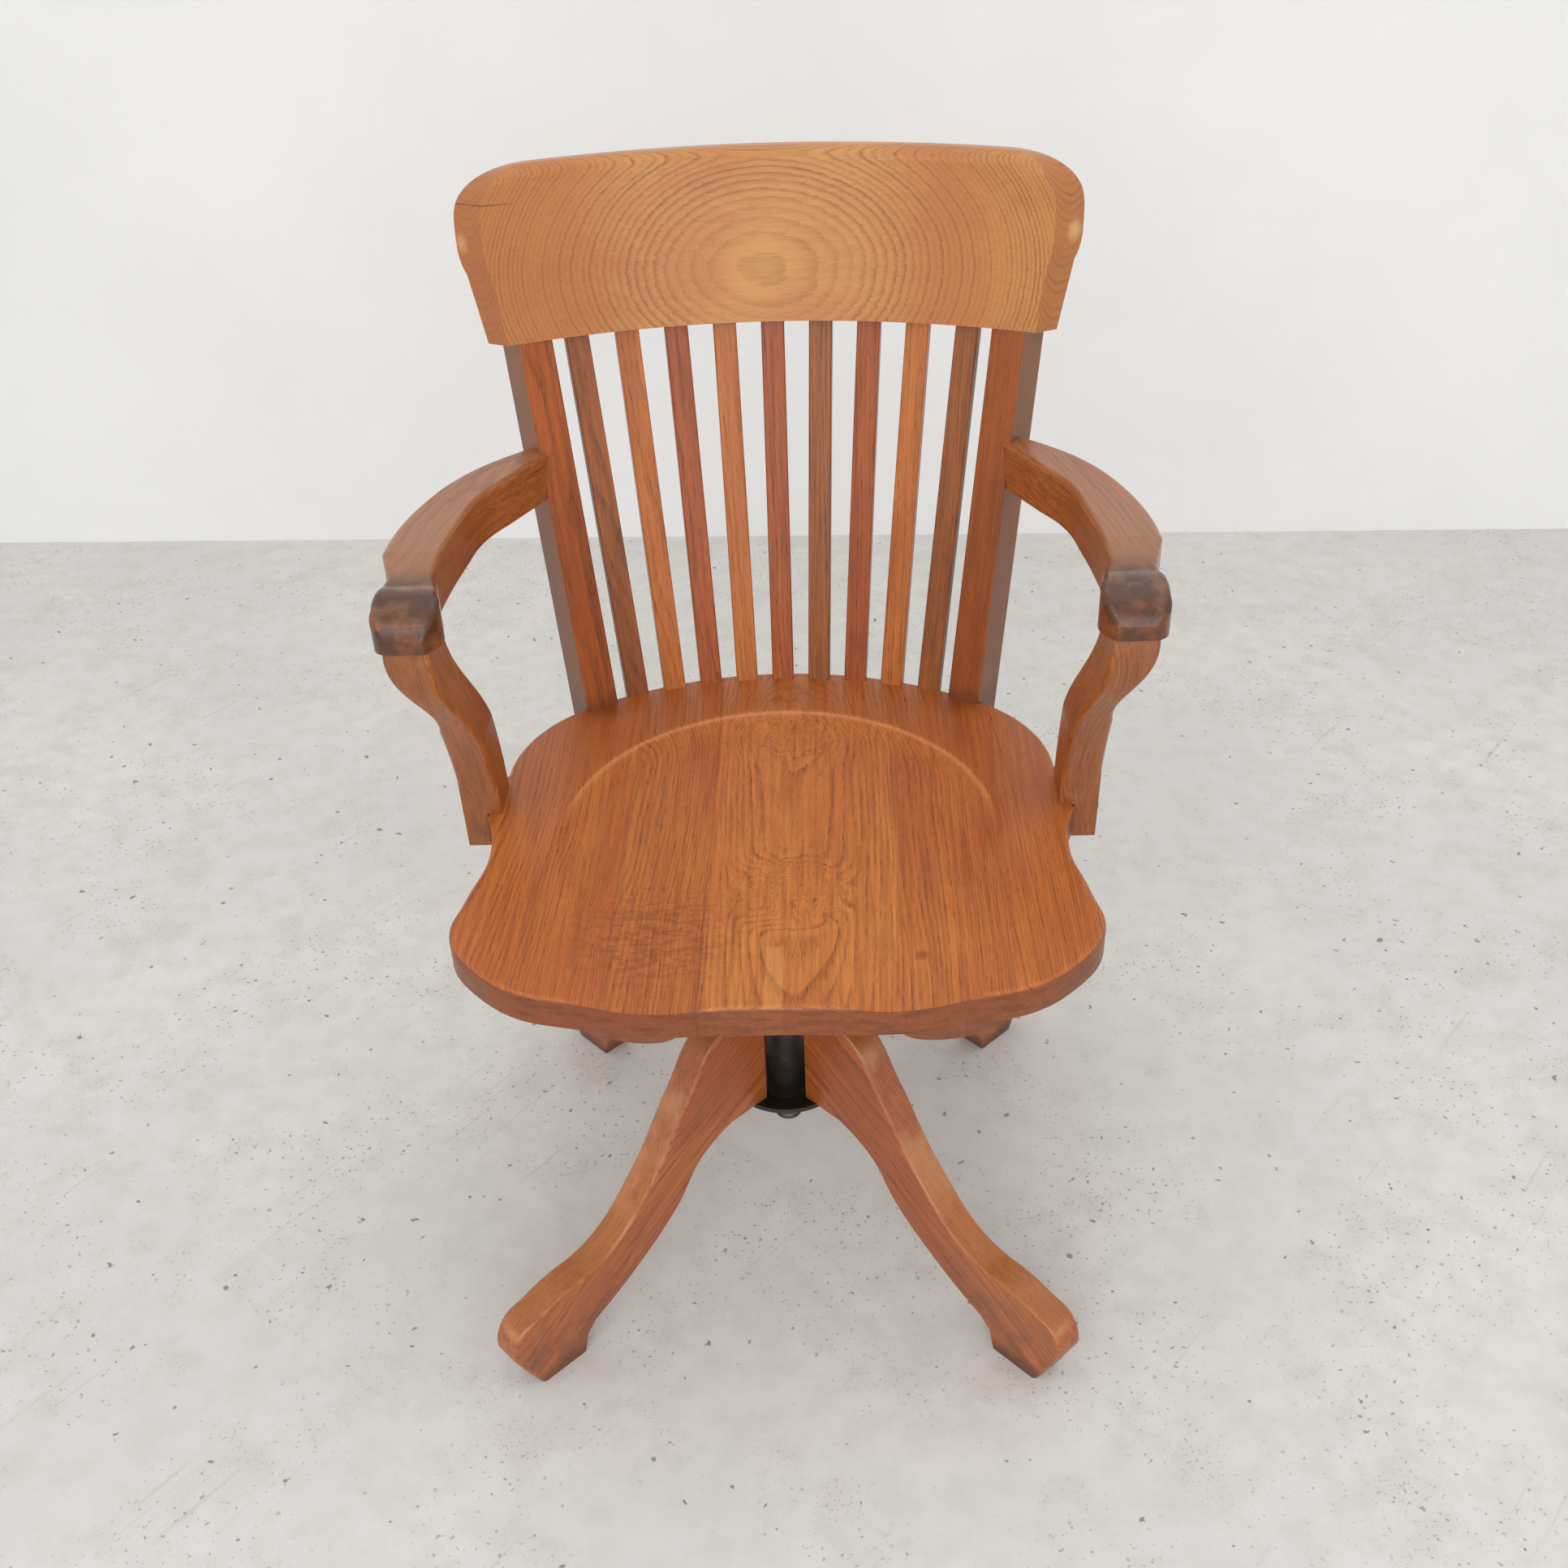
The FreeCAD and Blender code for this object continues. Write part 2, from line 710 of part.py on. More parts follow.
# Arm supports, sawn to a front view and a side view and rebated over the seat's edge
SUPPORT_INNER = [(267, 0), (265, -34), (254, -78), (247, -116)]
SUPPORT_OUTER = [(305, 0), (299, -34), (285, -64), (281, -100)]
SUPPORT_FRONT_EDGE = [(0, 0), (3, -38), (26, -79), (54, -132), (73, -190)]
SUPPORT_BACK_EDGE = [(56, 0), (62, -39), (84, -88), (106, -141), (120, -195)]


def support_front_view(name, side):
    body = new_body("support_front_" + name)
    foot = SEAT_TOP - size("support_foot_drop")
    inner = mirrored([(x, ARM_UNDER + z) for x, z in SUPPORT_INNER], side)
    outer = mirrored([(x, ARM_UNDER + z) for x, z in SUPPORT_OUTER], side)
    sketch = new_sketch(body, "XZ_Plane")
    sketch.addGeometry(curve(inner) + [
        straight(inner[-1], (inner[-1][0], foot)), straight((inner[-1][0], foot), (outer[-1][0], foot)),
        straight((outer[-1][0], foot), outer[-1])] + curve(outer[::-1]) + [straight(outer[0], inner[0])], False)
    pad(body, sketch, 500, midplane=True)
    return body


def support_side_view(name, side):
    body = new_body("support_side_" + name)
    foot = SEAT_TOP - size("support_foot_drop")
    start = -size("support_front")
    front = [(start + y, ARM_UNDER + z) for y, z in SUPPORT_FRONT_EDGE]
    back = [(start + y, ARM_UNDER + z) for y, z in SUPPORT_BACK_EDGE]
    front_foot = (front[-1][0] + 4, foot)
    back_foot = (back[-1][0] + 1, foot)
    sketch = new_sketch(body, "YZ_Plane", side * 270)
    sketch.addGeometry(curve(front) + [
        straight(front[-1], front_foot), straight(front_foot, back_foot),
        straight(back_foot, back[-1])] + curve(back) + [straight(back[0], front[0])], False)
    pad(body, sketch, 160, midplane=True)
    return body


def make_support(name, side, seat_board):
    sawn = combine("Part::Common", "support_sawn_" + name,
                   support_front_view(name, side), support_side_view(name, side))
    rounded = soften("support_rounded_" + name, sawn, lambda edge: edge.BoundBox.ZLength > 60, "support_round")
    return combine("Part::Cut", "arm_support_" + name, rounded, seat_board)


# Legs, drawn in side view with the distance from the swivel axis along X
LEG_TOP_CURVE = [(66, 0), (100, -15), (132, -57), (178, -122), (230, -169), (304, -184)]
LEG_UNDER_CURVE = [(84, 150), (118, 136), (158, 92), (205, 58), (256, 31)]


def make_leg(name, angle, dish_plate_shape):
    body = new_body("leg_blank_" + name)
    top = size("leg_top")
    reach = size("leg_foot_reach")
    toe = [(reach - 9, 73), (reach - 1, 46)]
    over = [(r, top + z) for r, z in LEG_TOP_CURVE] + toe
    under = LEG_UNDER_CURVE
    plate = size("dish_plate_height")
    kink = (reach - 8, 30)
    pad_front = (reach - 23, 0)
    heel = (272, 0)
    ankle = (267, 20)
    start = 12
    sketch = new_sketch(body, "XZ_Plane")
    sketch.addGeometry([straight((start, top), over[0])] + arc_chain(over) + [
        straight(over[-1], kink), straight(kink, pad_front), straight(pad_front, heel),
        straight(heel, ankle), straight(ankle, under[-1])] + arc_chain(under[::-1]) + [
        straight(under[0], (start, plate)), straight((start, plate), (start, top))], False)
    block = pad(body, sketch, "sizes.leg_thickness", midplane=True)
    side = size("leg_thickness") / 2

    def top_edge(edge):
        box = edge.BoundBox
        on_side = abs(abs(box.YMin) - side) < 0.01 and box.YLength < 0.01
        on_top = box.XMax > over[0][0] - 1 and box.ZMin > kink[1] - 1 and box.ZMax > kink[1] + 2
        return on_side and on_top and (box.ZMax > plate + 1 or box.XMax > ankle[0] + 5)

    round_edges(body, block, top_edge, "leg_round")
    mitre = new_sketch(body, "XY_Plane")
    tip = (size("tube_radius") + size("leg_mitre_gap")) * math.sqrt(2)
    mitre.addGeometry(polygon([(tip, 0), (tip + 40, 40), (-60, 40), (-60, -40), (tip + 40, -40)]), False)
    pocket_through(body, mitre)
    body.Placement = Placement(Vector(0, 0, 0), Rotation(Z_AXIS, angle))
    return combine("Part::Cut", "leg_" + name, body, dish_plate_shape)


# Hub ironwork
def revolved(label, corners, role="XZ_Plane"):
    """Turn a closed outline of radius and height pairs about the swivel axis."""
    body = new_body(label)
    sketch = new_sketch(body, role)
    sketch.addGeometry(polygon(corners), False)
    turn(body, sketch)
    doc.recompute()
    return body


def make_hub_tube():
    bore = size("spindle_radius") + size("running_fit")
    outside = size("tube_radius")
    return revolved("hub_tube", [(bore, TUBE_FOOT), (outside, TUBE_FOOT), (outside, TOP_PLATE_TOP),
                                 (bore, TOP_PLATE_TOP)])


def make_dish_plate():
    """The dished plate under the legs: flat in the middle, with a rising rim."""
    inside = size("tube_radius") + size("fixed_fit")
    bore = size("spindle_radius") + 2
    edge = size("dish_plate_radius")
    wall = size("dish_plate_wall")
    floor = TUBE_FOOT
    rim = size("dish_plate_height")
    return revolved("hub_dish_plate", [
        (bore, floor - wall), (inside + 8, floor - wall), (edge, rim - wall * 0.8), (edge, rim + wall * 0.4),
        (inside + 6, floor + wall * 0.6), (inside, floor + wall * 0.6), (inside, floor), (bore, floor)])


def make_top_plate():
    inside = size("tube_radius") + size("fixed_fit")
    edge = size("top_plate_radius")
    low = size("leg_top")
    return revolved("top_plate_disc", [(inside, low), (edge, low), (edge, TOP_PLATE_TOP - 2),
                                      (edge - 2, TOP_PLATE_TOP), (inside, TOP_PLATE_TOP)])


def make_thrust_washer():
    bore = size("spindle_radius") + 0.5
    return revolved("thrust_washer", [(bore, TOP_PLATE_TOP), (size("washer_radius"), TOP_PLATE_TOP),
                                      (size("washer_radius"), WASHER_TOP), (bore, WASHER_TOP)])


def make_height_nut():
    """The hand nut that turns on the hub and carries the threaded spindle."""
    bore = size("spindle_radius") + size("running_fit")
    boss = size("nut_boss_radius")
    rim = size("nut_rim_radius")
    rim_foot = NUT_FOOT + size("nut_rim_raise")
    rim_top = NUT_FOOT + size("nut_rim_height")
    foot = size("washer_radius")
    body = new_body("height_nut")
    sketch = new_sketch(body, "XZ_Plane")
    sketch.addGeometry(polygon([(bore, NUT_FOOT), (foot, NUT_FOOT), (foot, rim_foot), (rim, rim_foot),
                                (rim, rim_top - 2), (rim - 2, rim_top), (boss, rim_top), (boss, NUT_TOP),
                                (bore, NUT_TOP)]), False)
    turn(body, sketch)
    doc.recompute()
    scallop = new_sketch(body, "XY_Plane")
    circle(scallop, sized("nut_scallop_radius"), (rim + 3, 0))
    cut = pocket_through(body, scallop)
    pattern = body.newObject("PartDesign::PolarPattern", "nut_scallop_pattern")
    pattern.Originals = [cut]
    pattern.Axis = (scallop, ["N_Axis"])
    pattern.Angle = 360
    pattern.setExpression("Occurrences", "sizes.nut_scallops")
    body.Tip = pattern
    return body


def make_spindle():
    radius = size("spindle_radius")
    foot = size("spindle_end")
    return revolved("height_spindle", [(0, foot), (radius - 3, foot), (radius, foot + 3),
                                       (radius, YOKE_BOSS_TOP), (0, YOKE_BOSS_TOP)])


# Tilt mechanism
def make_yoke():
    """The casting on the spindle, with the pivot barrel across it and the lug for the tension rod."""
    body = new_body("yoke_casting")
    pivot = PIVOT_HEIGHT
    barrel = size("barrel_radius")
    boss = new_sketch(body, "XY_Plane", YOKE_FOOT)
    circle(boss, sized("yoke_boss_radius"))
    pad(body, boss, "sizes.yoke_boss_height")
    lug = new_sketch(body, "XY_Plane", LUG_UNDER)
    half = size("lug_half_width")
    rod_y = -size("rod_offset")
    lug.addGeometry([straight((half, 0), (half, rod_y)), bow((half, rod_y), (0, rod_y - half), (-half, rod_y)),
                     straight((-half, rod_y), (-half, 0)), straight((-half, 0), (half, 0))], False)
    pad(body, lug, "sizes.lug_wall")
    saddle = new_sketch(body, "XZ_Plane")
    wide = size("barrel_half_length")
    saddle.addGeometry(polygon([(-14, YOKE_BOSS_TOP - 4), (14, YOKE_BOSS_TOP - 4), (wide, pivot),
                                (-wide, pivot)]), False)
    pad(body, saddle, "sizes.barrel_radius * 1.2", midplane=True)
    tube = new_sketch(body, "YZ_Plane")
    circle(tube, sized("barrel_radius"), (0, pivot))
    pad(body, tube, "sizes.barrel_half_length * 2", midplane=True)
    doc.recompute()
    pin_bore = new_sketch(body, "YZ_Plane")
    circle(pin_bore, sized("pivot_radius", "running_fit"), (0, pivot))
    pocket_through(body, pin_bore)
    rod_bore = new_sketch(body, "XY_Plane")
    circle(rod_bore, sized("rod_radius", "rod_hole_gap"), (0, rod_y))
    pocket_through(body, rod_bore)
    doc.recompute()
    socket = doc.addObject("Part::Cylinder", "spindle_socket")
    socket.setExpression("Radius", "sizes.spindle_radius + sizes.fixed_fit")
    socket.Height = YOKE_BOSS_TOP - YOKE_FOOT + 1
    socket.Placement = Placement(Vector(0, 0, YOKE_FOOT - 1), Rotation())
    return combine("Part::Cut", "tilt_yoke", body, socket)


def make_seat_iron(screw_tools):
    """The cross-shaped plate under the seat with ears for the pivot and the tension rod."""
    body = new_body("iron_casting")
    arm = size("iron_arm_width") / 2
    right = size("iron_reach_x")
    front = -size("iron_reach_front")
    back = size("iron_reach_back")
    cross = new_sketch(body, "XY_Plane", IRON_UNDER)
    cross.addGeometry([
        straight((arm, front), (arm, -arm)), straight((arm, -arm), (right, -arm)),
        bow((right, -arm), (right + arm, 0), (right, arm)), straight((right, arm), (arm, arm)),
        straight((arm, arm), (arm, back)), bow((arm, back), (0, back + arm), (-arm, back)),
        straight((-arm, back), (-arm, arm)), straight((-arm, arm), (-right, arm)),
        bow((-right, arm), (-right - arm, 0), (-right, -arm)), straight((-right, -arm), (-arm, -arm)),
        straight((-arm, -arm), (-arm, front)), bow((-arm, front), (0, front - arm), (arm, front))], False)
    pad(body, cross, "sizes.iron_wall")
    pivot = PIVOT_HEIGHT
    ear_start = size("barrel_half_length") + size("ear_gap")
    for side in (1, -1):
        add_ear(body, side, ear_start, "ear_wall", 0, "ear_half_depth", pivot)
        add_ear(body, side, size("rod_eye_half_width") + size("ear_gap"), "small_ear_wall",
                -size("rod_offset"), "small_ear_half_depth", pivot)
    doc.recompute()
    bore = new_sketch(body, "YZ_Plane")
    circle(bore, sized("pivot_radius", "fixed_fit"), (0, pivot))
    pocket_through(body, bore)
    small_bore = new_sketch(body, "YZ_Plane")
    circle(small_bore, sized("rod_pin_radius", "fixed_fit"), (-size("rod_offset"), pivot))
    pocket_through(body, small_bore)
    doc.recompute()
    return combine("Part::Cut", "seat_iron", body, screw_tools)


def add_ear(body, side, start, wall, middle, half_depth, pivot):
    """Pad one ear down from the plate, rounded about the pin it holds."""
    half = size(half_depth)
    ear = new_sketch(body, "YZ_Plane", start if side > 0 else -start - size(wall))
    ear.addGeometry([
        straight((middle - half, IRON_UNDER + 1), (middle - half, pivot)),
        bow((middle - half, pivot), (middle, pivot - half), (middle + half, pivot)),
        straight((middle + half, pivot), (middle + half, IRON_UNDER + 1)),
        straight((middle + half, IRON_UNDER + 1), (middle - half, IRON_UNDER + 1))], False)
    pad(body, ear, "sizes." + wall)


def make_cross_pin(label, radius, half_length, offset):
    """A pin across the chair at the pivot's height."""
    pin = doc.addObject("Part::Cylinder", label)
    pin.Label = label
    pin.setExpression("Radius", "sizes." + radius)
    pin.Height = 2 * half_length
    pin.Placement = Placement(Vector(-half_length, offset, PIVOT_HEIGHT), Rotation(Y_AXIS, 90))
    return pin


def make_tension_rod():
    """The rod that hangs from the seat iron, with an eye at its top."""
    pivot = PIVOT_HEIGHT
    rod_y = -size("rod_offset")
    body = new_body("tension_rod")
    shank = new_sketch(body, "XY_Plane", ROD_FOOT)
    circle(shank, sized("rod_radius"), (0, rod_y))
    pad(body, shank, pivot - ROD_FOOT - size("rod_eye_hole") - 1)
    eye = new_sketch(body, "YZ_Plane")
    circle(eye, sized("rod_eye_radius"), (rod_y, pivot))
    circle(eye, sized("rod_eye_hole"), (rod_y, pivot))
    pad(body, eye, "sizes.rod_eye_half_width * 2", midplane=True)
    return body


def make_spring_washer():
    bore = size("rod_radius") + 0.3
    low = KNOB_TOP + size("face_gap")
    high = low + size("spring_washer_wall") - size("face_gap")
    washer = revolved("spring_washer", [(bore, low), (size("spring_washer_radius"), low),
                                        (size("spring_washer_radius"), high), (bore, high)])
    washer.Placement = Placement(Vector(0, -size("rod_offset"), 0), Rotation())
    return washer


def make_spring():
    """The compression spring between the lug and the washer: one tube on arcs, four to a turn."""
    wire = size("spring_wire_radius")
    radius = size("spring_mean_radius")
    turns = size("spring_turns")
    foot = SPRING_FOOT + wire
    rise = SPRING_TOP - wire - foot
    halves = int(turns * 2)

    def on_helix(half):
        angle = math.pi * half
        return Vector(radius * math.cos(angle), radius * math.sin(angle), foot + rise * half / halves)

    def along_helix(half):
        angle = math.pi * half
        climb = rise / (halves * math.pi)
        return Vector(-radius * math.sin(angle), radius * math.cos(angle), climb).normalize()

    arcs = []
    for half in range(halves):
        pair = two_arcs(on_helix(half), along_helix(half), on_helix(half + 1), along_helix(half + 1))
        arcs += [arc.toShape() for arc in pair]
    path = Part.Wire(arcs)
    section = Part.Wire(Part.Circle(on_helix(0), along_helix(0), wire).toShape())
    spring = doc.addObject("Part::Feature", "tension_spring")
    spring.Label = "tension_spring"
    spring.Shape = path.makePipeShell([section], True, False)
    spring.Placement = Placement(Vector(0, -size("rod_offset"), 0), Rotation())
    pitch = rise / turns
    print("least gap between the spring's turns: %.2f mm" % (pitch - 2 * wire))
    return spring


def make_knob():
    """The fluted knob that sets the spring's tension."""
    bore = size("rod_radius") + size("running_fit")
    radius = size("knob_radius")
    low = KNOB_FOOT
    body = new_body("tension_knob")
    sketch = new_sketch(body, "XZ_Plane")
    sketch.addGeometry(polygon([(bore, low), (radius - 3, low), (radius, low + 3), (radius, KNOB_TOP - 3),
                                (radius - 3, KNOB_TOP), (bore, KNOB_TOP)]), False)
    turn(body, sketch)
    doc.recompute()
    flute = new_sketch(body, "XY_Plane")
    circle(flute, sized("knob_flute_radius"), (radius + 1, 0))
    cut = pocket_through(body, flute)
    pattern = body.newObject("PartDesign::PolarPattern", "knob_flute_pattern")
    pattern.Originals = [cut]
    pattern.Axis = (flute, ["N_Axis"])
    pattern.Angle = 360
    pattern.setExpression("Occurrences", "sizes.knob_flutes")
    body.Tip = pattern
    body.Placement = Placement(Vector(0, -size("rod_offset"), 0), Rotation())
    return body


# Screws
def screw(label, head_seat, direction, length="screw_length"):
    """One screw whose head stands on a face and whose shank goes in along a direction."""
    body = new_body(label)
    reach = size(length)
    radius = size("screw_radius")
    head = size("screw_head_radius")
    sketch = new_sketch(body, "XZ_Plane")
    proud = size("screw_head_height")
    sketch.addGeometry(polygon([(0, -proud), (head - proud / 2, -proud), (head, 0), (radius, 0),
                                (radius, reach), (0, reach)]), False)
    turn(body, sketch)
    body.Placement = Placement(head_seat, Rotation(Z_AXIS, direction))
    return body


def seat_iron_screws():
    places = []
    for reach, across in ((size("iron_reach_x") - 10, 10), (size("iron_reach_x") - 50, -10)):
        places += [(reach, across), (-reach, across)]
    for reach, across in ((size("iron_reach_back") - 10, 10), (size("iron_reach_back") - 55, -10)):
        places += [(across, reach), (-across, -reach + 30)]
    return [screw("iron_screw_%d" % n, Vector(x, y, IRON_UNDER), Z_AXIS) for n, (x, y) in enumerate(places)]


POST_SCREW_DROPS = (17, 25)
SUPPORT_SCREW_PLACES = ((74, 10), (96, 20))


def post_screws():
    """Two screws through each post into the seat's edge."""
    screws = []
    for side in (1, -1):
        foot, head, across = post_ends(side)
        up = (head - foot).normalize()
        inward = across.cross(up).normalize()
        for n, drop in enumerate(POST_SCREW_DROPS):
            middle = foot - up * drop
            behind = middle - inward * (size("post_depth") / 2)
            screws.append(screw("post_screw_%d_%d" % (side, n), behind + across * (n * 8 - 4), inward,
                                "post_screw_length"))
    return screws


def support_screws():
    """Two screws through each arm support's lap into the seat's side."""
    screws = []
    lap_face = SUPPORT_OUTER[-1][0]
    for side in (1, -1):
        for n, (y, drop) in enumerate(SUPPORT_SCREW_PLACES):
            place = Vector(side * lap_face, y, SEAT_TOP - drop)
            screws.append(screw("support_screw_%d_%d" % (side, n), place, Vector(-side, 0, 0),
                                "support_screw_length"))
    return screws


def leg_screws():
    """Four screws down through the top plate into the legs."""
    screws = []
    for n in range(4):
        angle = math.radians(45 + 90 * n)
        out = Vector(math.cos(angle), math.sin(angle), 0)
        place = out * size("leg_screw_circle") + Vector(0, 0, TOP_PLATE_TOP)
        screws.append(screw("leg_screw_top_%d" % n, place, -Z_AXIS))
    return screws


def make_seat(board, slats, screws):
    """Round the board's edges, then scoop it and cut its mortises and screw holes."""
    rounded = soften("seat_rounded", board,
                     lambda edge: all_at_height(edge, SEAT_TOP) or all_at_height(edge, SEAT_UNDER),
                     "seat_edge_round")
    scoops = [dish_tool(), hollow_tool("hollow_right", 1), hollow_tool("hollow_left", -1)]
    return combine("Part::Cut", "seat", rounded, group("seat_cuts", scoops + slats + screws))


def make_back_and_arms(board, slats, post_set, support_set):
    """The posts, arms, arm supports and crest rail, each trimmed by what it seats on."""
    parts = []
    tenons = []
    above = crest_space()
    for name, side in (("right", 1), ("left", -1)):
        blank = post_blank(name, side)
        tenon = post_tenon(name, side)
        tenons.append(tenon)
        trims = group("post_trims_" + name, [board, above, post_set])
        trimmed = combine("Part::Cut", "post_trimmed_" + name, blank, trims)
        parts.append(combine("Part::Fuse", "back_post_" + name, trimmed, tenon))
        parts.append(make_arm(name, side, blank))
        parts.append(make_support(name, side, group("support_trims_" + name, [board, support_set])))
    parts.append(make_crest(tenons, slats))
    return parts


def make_base():
    """The four legs and the ironwork that holds them about the tube."""
    dish_plate = make_dish_plate()
    screws = group("leg_screws", leg_screws())
    parts = [dish_plate, screws, make_hub_tube(), make_thrust_washer()]
    for name, angle in (("front_right", -45), ("rear_right", 45), ("rear_left", 135), ("front_left", 225)):
        parts.append(make_leg(name, angle, group("leg_cuts_" + name, [dish_plate, screws])))
    parts.append(combine("Part::Cut", "hub_top_plate", make_top_plate(), screws))
    return parts


def build():
    """Build every sub-part and return the objects to write, each labelled with its node's name."""
    board = seat_blank()
    slats = [make_slat(index) for index in range(-SLATS_EACH_SIDE, SLATS_EACH_SIDE + 1)]
    iron_set = group("seat_iron_screws", seat_iron_screws())
    post_set = group("post_screws", post_screws())
    support_set = group("support_screws", support_screws())
    screw_sets = [iron_set, post_set, support_set]
    rod_pin_half = size("rod_eye_half_width") + size("ear_gap") + size("small_ear_wall") + 2
    parts = [make_seat(board, slats, screw_sets)] + slats + screw_sets
    parts += make_back_and_arms(board, slats, post_set, support_set)
    parts += make_base()
    parts += [make_height_nut(), make_spindle(), make_yoke(), make_seat_iron(iron_set)]
    parts.append(make_cross_pin("pivot_pin", "pivot_radius", size("pivot_half_length"), 0))
    parts.append(make_cross_pin("rod_pin", "rod_pin_radius", rod_pin_half, -size("rod_offset")))
    parts += [make_tension_rod(), make_spring_washer(), make_spring(), make_knob()]
    return parts


def check_and_write(parts):
    doc.recompute()
    for item in doc.Objects:
        if "Invalid" in item.State or "Error" in item.State:
            raise RuntimeError("%s did not build: %s" % (item.Label, item.State))
    for item in parts:
        if item.Shape.isNull() or not item.Shape.isValid():
            raise RuntimeError("%s has no valid shape" % item.Label)
    for item in parts:
        item.Shape.exportStep("parts/%s.step" % item.Label)


check_and_write(build())
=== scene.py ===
"""Oak bankers swivel chair: finishes, threads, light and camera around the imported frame."""
import logging
import math
from dataclasses import dataclass
from enum import Enum
from typing import Sequence

import bpy
import numpy as np
from mathutils import Matrix, Vector


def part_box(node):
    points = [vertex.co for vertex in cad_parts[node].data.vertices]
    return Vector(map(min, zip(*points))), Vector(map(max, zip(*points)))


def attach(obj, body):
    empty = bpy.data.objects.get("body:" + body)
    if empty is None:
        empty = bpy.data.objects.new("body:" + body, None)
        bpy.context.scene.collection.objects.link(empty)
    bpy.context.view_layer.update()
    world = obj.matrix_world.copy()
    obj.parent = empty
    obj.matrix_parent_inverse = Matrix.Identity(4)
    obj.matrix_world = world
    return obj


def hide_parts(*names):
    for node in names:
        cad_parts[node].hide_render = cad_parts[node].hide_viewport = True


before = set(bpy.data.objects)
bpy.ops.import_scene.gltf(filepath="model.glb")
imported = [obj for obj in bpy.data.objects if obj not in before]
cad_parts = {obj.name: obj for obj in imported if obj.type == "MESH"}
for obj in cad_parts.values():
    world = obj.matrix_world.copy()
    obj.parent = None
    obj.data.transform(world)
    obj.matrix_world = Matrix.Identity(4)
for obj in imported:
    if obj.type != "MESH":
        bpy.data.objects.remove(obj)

LOG = logging.getLogger("bankers_chair")
Triple = tuple[float, float, float]
Socket = bpy.types.NodeSocket

IMAGE_SIZE = 1932
SENSOR_WIDTH = 36.0
SEAT_TOP = 0.405

# How many features a metre holds: across the grain, along it, and into the board.
SLOW_WANDER = (9.0, 3.0, 9.0)
QUICK_WANDER = (45.0, 9.0, 45.0)
RING_TEETH = (420.0, 34.0, 420.0)
RING_BREAKS = (150.0, 16.0, 150.0)
PORE_DASHES = (1050.0, 75.0, 1050.0)
FINE_HAIRS = (2100.0, 120.0, 2100.0)
LONG_STREAKS = (240.0, 6.0, 240.0)
RAY_FLECKS = (110.0, 22.0, 420.0)
TONE_PATCHES = (9.0, 3.5, 9.0)


def linear(red: int, green: int, blue: int) -> Triple:
    """Turn a colour on the 0 to 255 screen scale into the shader's linear scale."""
    shares = (red / 255, green / 255, blue / 255)
    return tuple(c / 12.92 if c <= 0.04045 else ((c + 0.055) / 1.055) ** 2.4 for c in shares)


